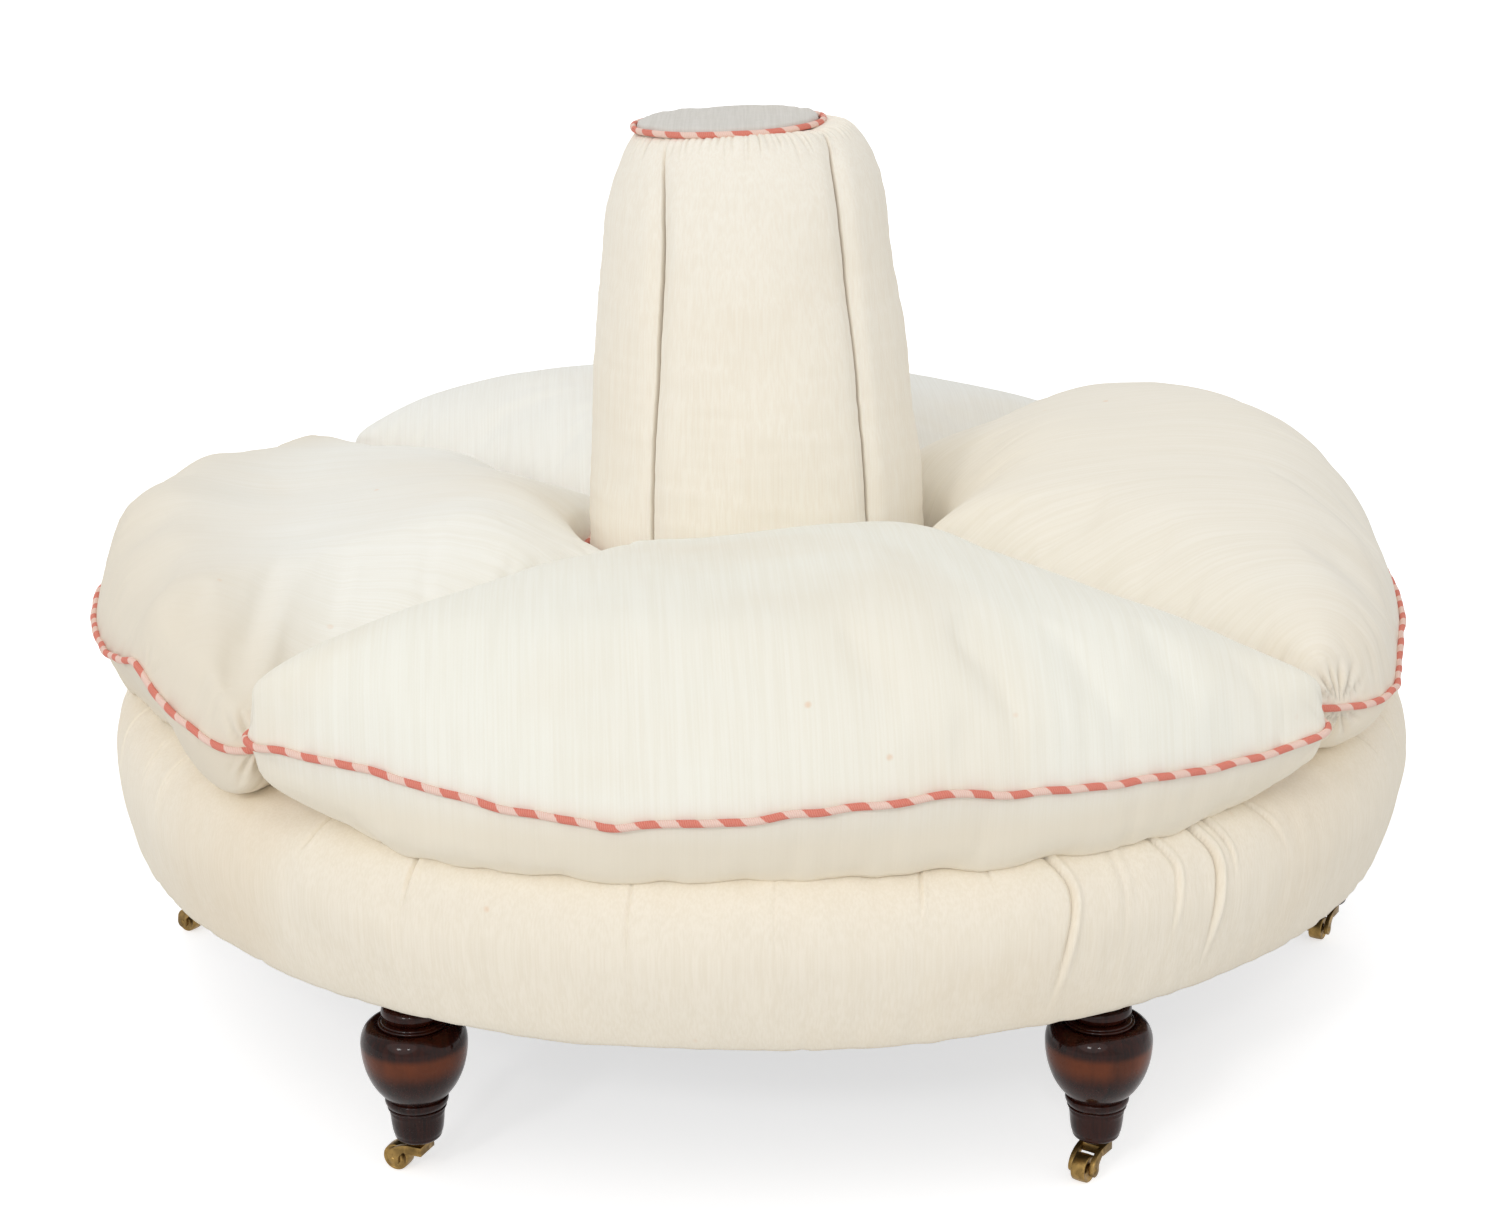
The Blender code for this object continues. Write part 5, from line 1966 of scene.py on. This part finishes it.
    def _piping(self) -> Piece:
        """Build the striped piping round the seam.

        Returns:
            The cord.
        """
        outer, inner, near, far = self._edges()
        loop = np.vstack([outer[:-1], far[::-1][:-1], inner[::-1][:-1], near[:-1]])
        closed = np.vstack([loop, loop[:1]])
        length = np.linalg.norm(np.diff(closed, axis=0), axis=1).sum()
        loop = even_path(closed, int(length / self.cord_step))[:-1]
        for _ in range(3):
            loop = (np.roll(loop, 1, 0) + 2 * loop + np.roll(loop, -1, 0)) / 4
        ahead = np.roll(loop, -1, 0) - np.roll(loop, 1, 0)
        outward = np.cross(ahead, (0.0, 0.0, 1.0))
        outward /= np.linalg.norm(outward, axis=1, keepdims=True)
        wander = unevenness(loop, self.seed + 7, [self.cord_wander])
        loop = loop + outward * (0.55 * self.piping_radius + wander)[:, None]
        loop[:, 2] += unevenness(loop, self.seed + 8, [self.cord_rise])
        return cord_object(f"cushion_{self.side}_cord", self._to_side(loop), self.piping_radius)


@dataclass
class TurnedLeg:
    """A turned mahogany leg, written as radii and heights above the floor."""

    number: int
    segments: int = 84
    dowel_radius: float = 0.0090
    top_radius: float = 0.0220
    shoulder: float = 0.1852

    def profile(self) -> list[Corner]:
        """Return the half outline from the top of the dowel to the foot.

        Returns:
            Points of (radius, height), one row each.
        """
        low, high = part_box(f"leg_{self.number}")
        foot, top, shoulder = low.z, high.z, self.shoulder
        outline: list[Corner] = [(0, top), (self.dowel_radius - 0.001, top), (self.dowel_radius, top - 0.001)]
        outline += [(self.dowel_radius, shoulder), (self.top_radius - 0.0005, shoulder)]
        outline += [(self.top_radius, shoulder - 0.0005), (self.top_radius, 0.1765)]
        outline += [(0.0212, 0.1755), (0.0200, 0.1745), (0.0200, 0.1725)]
        outline += arc((0.0208, 0.1635), (0.0080, 0.0080), QUARTER_TURN, -QUARTER_TURN, 14)
        outline += [(0.0282, 0.1552), (0.0290, 0.1546), (0.0293, 0.1538)]
        outline += arc((0.0298, 0.1520), (0.0022, 0.0018), QUARTER_TURN, -QUARTER_TURN, 8)
        outline += [(0.0326, 0.1503), (0.0340, 0.1512)]
        outline += arc((0.0362, 0.1330), (0.0124, 0.0190), 0.48 * math.pi, 0, 14)
        outline += arc((0.0076, 0.1330), (0.0410, 0.0610), 0, -0.330 * math.pi, 22)[1:]
        outline += [(0.0272, 0.0799), (0.0270, 0.0792), (0.0276, 0.0786)]
        band = [(0.0286, 0.0780), (0.0291, 0.0764), (0.0288, 0.0740), (0.0277, 0.0716), (0.0266, 0.0702)]
        outline += smooth_path(band, 4).tolist()
        outline += [(0.0259, 0.0698)]
        outline += arc((0.0256, 0.0684), (0.0015, 0.0013), QUARTER_TURN, -QUARTER_TURN, 8)
        outline += [(0.0251, 0.0666), (0.0250, 0.0646), (0.0253, 0.0636), (0.0251, 0.0626)]
        shank = [(0.0248, 0.0614), (0.0240, 0.0520), (0.0230, 0.0450), (0.0219, 0.0415)]
        outline += smooth_path(shank, 4).tolist()
        outline += arc((0.0160, 0.0410), (0.0058, 0.0410 - foot), 0, -QUARTER_TURN, 8)
        return outline + [(0, foot)]

    def build(self) -> None:
        """Build the leg and fix it to the seat."""
        low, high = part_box(f"leg_{self.number}")
        leg = turned_piece(f"turned_leg_{self.number}", self.profile(), self.segments)
        middle = (low + high) / 2
        leg.data.transform(Matrix.Translation((middle.x, middle.y, 0)))
        wardrobe.dress(leg, Mahogany())
        stand_for(leg, "root", f"leg_{self.number}")
        log.info("leg %d", self.number)


@dataclass
class Caster:
    """A brass caster: plate with collar and pin, horned fork with its axle, and barrel wheel."""

    number: int
    wheel_radius: float = 0.0130
    wheel_width: float = 0.0140
    crown_radius: float = 0.0085
    boss_radius: float = 0.0062
    cheek_thickness: float = 0.0045
    cheek_gap: float = 0.00125
    bridge_height: float = 0.0087
    bevel: float = 0.0008
    wheel_steps: int = 64

    def __post_init__(self) -> None:
        """Take the caster's axes from the joints of the frame."""
        joints = {joint["name"]: joint for joint in frame["joints"]}
        swivel = Vector(joints[f"swivel_{self.number}"]["pos_m"])
        axle = Vector(joints[f"roll_{self.number}"]["pos_m"])
        self.pivot = Vector((swivel.x, swivel.y, 0))
        trail = Vector((axle.x - swivel.x, axle.y - swivel.y, 0))
        self.trail = trail.length
        self.axle_height = axle.z
        self.place = Matrix.Translation(self.pivot) @ Matrix.Rotation(math.atan2(trail.y, trail.x), 4, "Z")
        self.fork_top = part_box(f"caster_fork_{self.number}")[1].z

    def plate(self) -> Piece:
        """Build the round plate with its collar and the riveted swivel pin.

        Returns:
            The plate.
        """
        low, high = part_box(f"caster_plate_{self.number}")
        top = high.z
        fork_bottom = self.fork_top - self.bridge_height
        profile: list[Corner] = [(0, top), (0.0128, top), (0.0134, top - 0.0005), (0.0135, top - 0.0018)]
        profile += [(0.0129, top - 0.0025), (0.0092, top - 0.0026), (0.0086, top - 0.0032)]
        profile += [(0.0080, self.fork_top + 0.0004), (0.0030, self.fork_top + 0.0003)]
        profile += [(0.0030, fork_bottom - 0.0003), (0.0045, fork_bottom - 0.0004)]
        profile += [(0.0043, fork_bottom - 0.0010), (0.0030, fork_bottom - 0.0016), (0, low.z)]
        plate = turned_piece(f"plate_{self.number}", profile, 48)
        plate.data.transform(Matrix.Translation(self.pivot))
        return plate

    def fork(self) -> Piece:
        """Build the fork: a bridge round the pin and two horned cheeks round the wheel.

        Returns:
            The fork.
        """
        inside = self.wheel_width / 2 + self.cheek_gap
        outside = inside + self.cheek_thickness
        bottom = self.fork_top - self.bridge_height
        start = 0.35 * self.crown_radius
        outline = [(-self.crown_radius, bottom), (-self.crown_radius, self.fork_top)]
        horn = (self.trail + self.boss_radius - start, self.fork_top - self.axle_height)
        outline += arc((start, self.axle_height), horn, QUARTER_TURN, 0, 18)
        boss = (self.boss_radius, self.boss_radius)
        outline += arc((self.trail, self.axle_height), boss, 0, -math.radians(165), 20)[1:]
        behind = (self.trail - 1.02 * self.boss_radius, self.axle_height + 0.004)
        under = (self.crown_radius + 0.002, bottom + 0.0004)
        throat = smooth_path([outline[-1], behind, under, (self.crown_radius, bottom)], 4)
        outline += throat[1:].tolist()
        work = bmesh.new()
        face = work.faces.new([work.verts.new((x, -outside, z)) for x, z in outline])
        grown = bmesh.ops.extrude_face_region(work, geom=[face])
        moved = [item for item in grown["geom"] if isinstance(item, bmesh.types.BMVert)]
        bmesh.ops.translate(work, verts=moved, vec=(0, 2 * outside, 0))
        bmesh.ops.recalc_face_normals(work, faces=work.faces)
        fork = built(f"fork_{self.number}", work)
        slot_far = self.trail + 2 * self.boss_radius
        slot = box_tool((self.crown_radius, -inside, -0.01), (slot_far, inside, self.fork_top + 0.01))
        hole = turned_piece("hole", [(0, 0.06), (0.0033, 0.06), (0.0033, 0), (0, 0)], 32)
        for tool in (slot, hole):
            cut = fork.modifiers.new("cut", "BOOLEAN")
            cut.operation = "DIFFERENCE"
            cut.solver = "EXACT"
            cut.object = tool
        soft = fork.modifiers.new("soft_edges", "BEVEL")
        soft.width = self.bevel
        soft.segments = 3
        soft.limit_method = "ANGLE"
        soft.angle_limit = math.radians(50)
        settle(fork)
        for tool in (slot, hole):
            bpy.data.objects.remove(tool, do_unlink=True)
        fork.data.set_sharp_from_angle(angle=math.radians(35))
        heads = self._axle(outside)
        join([fork, heads])
        fork.data.transform(self.place)
        return fork

    def _axle(self, outside: float) -> Piece:
        """Build the riveted axle through both cheeks, with domed heads.

        Args:
            outside: Half the width of the fork.

        Returns:
            The axle.
        """
        dome = arc((0, outside - 0.0004), (0.0034, 0.0015), QUARTER_TURN, 0, 6)
        neck = [(0.0034, outside - 0.0012), (0.0020, outside - 0.0014)]
        half = dome + neck
        profile = half + [(radius, -height) for radius, height in reversed(half)]
        axle = turned_piece("axle", profile, 32)
        lay_down = Matrix.Rotation(QUARTER_TURN, 4, "X")
        axle.data.transform(Matrix.Translation((self.trail, 0, self.axle_height)) @ lay_down)
        return axle

    def wheel(self) -> Piece:
        """Build the barrel wheel with dished faces and a hub.

        Returns:
            The wheel.
        """
        half = self.wheel_width / 2
        side: list[Corner] = [(0.0024, half - 0.0004), (0.0042, half - 0.0002), (0.0048, half - 0.0010)]
        side += [(0.0066, half - 0.0017), (0.0092, half - 0.0014), (0.0108, half - 0.0003), (0.0116, half)]
        side += arc((self.wheel_radius - 0.0014, half - 0.0012), (0.0011, 0.0012), QUARTER_TURN, 0.1, 5)
        side += [(self.wheel_radius - 0.0001, half * 0.5)]
        profile = side + [(self.wheel_radius, 0)] + [(radius, -height) for radius, height in reversed(side)]
        radii, across = np.array([*profile, profile[0]]).T
        steps = self.wheel_steps
        turn = np.arange(steps)[:, None] * FULL_TURN / steps
        ring = np.stack([radii * np.cos(turn), across + 0 * turn, radii * np.sin(turn)], -1)
        wheel = round_object(f"wheel_{self.number}", ring)
        close_mesh(wheel)
        wheel.data.set_sharp_from_angle(angle=math.radians(40))
        wheel.data.transform(self.place @ Matrix.Translation((self.trail, 0, self.axle_height)))
        return wheel

    def build(self) -> None:
        """Build the three pieces and fix each to its body."""
        plate_brass = AgedBrass("plate_brass", "caster_brass", 0.75)
        fork_brass = AgedBrass("fork_brass", "caster_brass", 0.62)
        wheel_brass = AgedBrass("wheel_brass", "wheel_brass", 0.45)
        number = self.number
        for piece, finish, body, node in (
            (self.plate(), plate_brass, "root", f"caster_plate_{number}"),
            (self.fork(), fork_brass, f"swivel_fork_{number}", f"caster_fork_{number}"),
            (self.wheel(), wheel_brass, f"rolling_wheel_{number}", f"caster_wheel_{number}"),
        ):
            wardrobe.dress(piece, finish)
            stand_for(piece, body, node)
        log.info("caster %d: plate, fork and wheel", number)


def box_tool(low: Sequence[float], high: Sequence[float]) -> Piece:
    """Return a box between two corners, to cut with.

    Args:
        low: Its lowest corner.
        high: Its highest corner.

    Returns:
        The box.
    """
    work = bmesh.new()
    bmesh.ops.create_cube(work, size=1)
    size = Vector(high) - Vector(low)
    bmesh.ops.scale(work, verts=work.verts, vec=size)
    bmesh.ops.translate(work, verts=work.verts, vec=Vector(low) + size / 2)
    return built("box_tool", work)


def join(pieces: Sequence[Piece]) -> None:
    """Join pieces into the first one.

    Args:
        pieces: The objects, of which only the first stays.
    """
    work = bmesh.new()
    for piece in pieces:
        work.from_mesh(piece.data)
    work.to_mesh(pieces[0].data)
    work.free()
    for piece in pieces[1:]:
        bpy.data.objects.remove(piece, do_unlink=True)


def stuffing(node: str, seed: int, give: Callable[[Array], Array] | None = None) -> Piece:
    """Return lumpy stuffing in the place of a packed padding, just inside its skin.

    Args:
        node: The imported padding.
        seed: Seed of its lumps.
        give: Returns how far the stuffing's outside gives way at each point.

    Returns:
        The dressed stuffing.
    """
    packed = frame["nodes"][node]
    work = bmesh.new()
    work.from_mesh(packed.data)
    bmesh.ops.transform(work, matrix=packed.matrix_world, verts=work.verts)
    bmesh.ops.triangulate(work, faces=work.faces)
    for _ in range(3):
        long_edges = [edge for edge in work.edges if edge.calc_length() > STUFFING_EDGE]
        bmesh.ops.subdivide_edges(work, edges=long_edges, cuts=1, use_grid_fill=False)
        bmesh.ops.triangulate(work, faces=[face for face in work.faces if len(face.verts) > 3])
    filling = built(f"{node}_stuffing", work)
    points = read_points(filling.data)
    normals = read_normals(filling.data)
    lumps = unevenness(points, seed, STUFFING_LUMPS)
    sunk = np.minimum(lumps - STUFFING_DEPTH, -LEAST_DEPTH)
    if give:
        outward = (normals[:, :2] * points[:, :2]).sum(1) / np.hypot(points[:, 0], points[:, 1])
        sunk = sunk - give(points) * np.clip(outward, 0, 1)
    write_points(filling.data, points + normals * sunk[:, None])
    wardrobe.dress(filling, LooseFill())
    stand_for(filling, "root", node)
    return filling


@dataclass(frozen=True)
class InnerPieces:
    """The stuffing, and finishes for the other hidden pieces, which keep their own meshes."""

    column: PaddedColumn
    jute: PlainWeave = PlainWeave("jute_webbing", "jute", srgb(190, 158, 108), srgb(128, 98, 60), 0.0022)
    hessian: PlainWeave = PlainWeave("jute_hessian", "jute", srgb(182, 150, 104), srgb(116, 90, 56), 0.0030)

    def build(self) -> None:
        """Make the stuffing and dress each kept node by what it is made of."""
        finishes: dict[str, Finish] = {
            "frame_rail": PlainWood(),
            "cross_beam": PlainWood(),
            "column_post": PlainWood(),
            "column_top_board": PlainWood(),
            "webbing": self.jute,
            "hessian": self.hessian,
            "seat_spring": SpringSteel(),
        }
        for name, node in frame["nodes"].items():
            for start, finish in finishes.items():
                if name.startswith(start):
                    wardrobe.dress(node, finish)
        stuffing("seat_padding", 60)
        stuffing("column_padding", 62, self.column.give)
        log.info("inner pieces: %s", ", ".join(finishes))


FRONT = FeatherCushion(
    side="front",
    turned=math.radians(-86.5),
    crown=0.126,
    belly_level=0.318,
    tone=srgb(248, 246, 235),
    shade=srgb(244, 241, 228),
    seam=(
        (-50, 0.421), (-46, 0.422), (-38, 0.424), (-30, 0.419), (-25, 0.409), (-19, 0.4015), (-13, 0.398),
        (-7, 0.401), (0, 0.412), (8, 0.420), (16, 0.414), (24, 0.408), (30, 0.404), (38, 0.400), (46, 0.408),
        (50, 0.409),
    ),
    swells=(
        Swell((0.42, 0.28), -0.02, 0.16), Swell((0.25, -0.14), -0.13, 0.09), Swell((0.48, -0.39), 0.10, 0.08),
        Swell((0.50, 0.43), -0.10, 0.07),
    ),
    pulls=(CornerPull((0.47, 0.47), (0.010, 0.011), 0.09), CornerPull((0.47, -0.47), (0.010, -0.016), 0.09)),
    gathers=(Gather((0.488, 0.478), 0.0016, 0.060, 12), Gather((0.488, -0.478), 0.0012, 0.060, 12)),
    tucks=(Swell((0.52, 0.44), 0.26, 0.11), Swell((0.51, -0.45), 0.27, 0.085)),
    seed=1,
)
RIGHT = FeatherCushion(
    side="right",
    turned=math.radians(3.5),
    crown=0.140,
    belly_level=0.322,
    outer_fullness=1.7,
    tone=srgb(245, 239, 226),
    shade=srgb(241, 234, 219),
    reach=0.6650,
    inner_seam=((-50, 0.420), (20, 0.428), (50, 0.440)),
    seam=(
        (-50, 0.412), (-45, 0.408), (-39, 0.399), (-30, 0.392), (-20, 0.404), (-8, 0.411), (10, 0.416),
        (44, 0.430), (50, 0.430),
    ),
    swells=(
        Swell((0.40, 0.10), 0.04, 0.20), Swell((0.56, 0.02), 0.12, 0.10), Swell((0.24, 0.14), -0.20, 0.11),
        Swell((0.63, -0.14), -0.10, 0.08),
    ),
    pulls=(
        CornerPull((0.46, -0.46), (-0.004, 0.006), 0.06), CornerPull((0.545, -0.385), (0.018, -0.013), 0.10),
        CornerPull((0.655, -0.08), (-0.003, 0.0), 0.15),
    ),
    tucks=(Swell((0.53, -0.42), 0.24, 0.09),),
    gathers=(Gather((0.508, -0.450), 0.0046, 0.054, 19), Gather((0.47, 0.47), 0.0014, 0.060, 12)),
    seed=2,
)
BACK = FeatherCushion(
    side="back",
    turned=math.radians(93.5),
    crown=0.096,
    belly_level=0.322,
    tone=srgb(245, 244, 237),
    shade=srgb(241, 239, 231),
    seam=((-50, 0.420), (-30, 0.412), (-12, 0.424), (6, 0.410), (26, 0.418), (44, 0.420), (50, 0.420)),
    swells=(
        Swell((0.42, 0.30), 0.10, 0.16), Swell((0.52, 0.22), 0.15, 0.18),
        Swell((0.51, -0.39), -0.18, 0.13),
    ),
    gathers=(Gather((0.47, 0.47), 0.0018, 0.060, 14), Gather((0.47, -0.47), 0.0018, 0.060, 14)),
    seed=3,
)
LEFT = FeatherCushion(
    side="left",
    turned=math.radians(183.5),
    crown=0.073,
    belly_level=0.320,
    outer_fullness=7.0,
    tone=srgb(249, 247, 239),
    shade=srgb(245, 242, 232),
    # Painted shade on its outer rim.
    rim_painted_shade=0.80,
    seam_softness=1.2,
    inner_seam=((-50, 0.436), (-38, 0.436), (0, 0.446), (38, 0.464), (50, 0.470)),
    crown_power=0.33,
    seam=(
        (-50, 0.430), (-44, 0.430), (-10, 0.421), (10, 0.418), (20, 0.422), (25, 0.432), (28.5, 0.442),
        (30, 0.439), (31.2, 0.428), (36, 0.412), (41, 0.396), (45, 0.399), (50, 0.402),
    ),
    swells=(
        Swell((0.665, 0.0), 0.42, 0.10), Swell((0.645, -0.15), 0.22, 0.10), Swell((0.645, 0.15), 0.22, 0.10),
        Swell((0.52, -0.38), -0.24, 0.14), Swell((0.20, -0.16), -0.55, 0.09),
        Swell((0.17, 0.13), -0.75, 0.08),
    ),
    pulls=(CornerPull((0.46, 0.46), (-0.004, -0.014), 0.08),),
    gathers=(
        Gather((0.474, 0.474), 0.0042, 0.050, 16), Gather((0.575, 0.338), 0.0022, 0.036, 9),
        Gather((0.47, -0.47), 0.0016, 0.060, 12),
    ),
    tucks=(Swell((0.615, 0.27), 1.10, 0.14),),
    seed=4,
)
CUSHIONS = (FRONT, RIGHT, BACK, LEFT)
LEG_NUMBERS = range(1, 7)


def main() -> None:
    """Build every sub-assembly in order."""
    logging.basicConfig(level=logging.INFO, format="%(name)s: %(message)s")
    Studio().build()
    drum = SeatDrum()
    drum.build()
    column = PaddedColumn()
    column.build()
    for cushion in CUSHIONS:
        cushion.build(drum)
    for number in LEG_NUMBERS:
        TurnedLeg(number).build()
        Caster(number).build()
    InnerPieces(column).build()


if __name__ == "__main__":
    main()
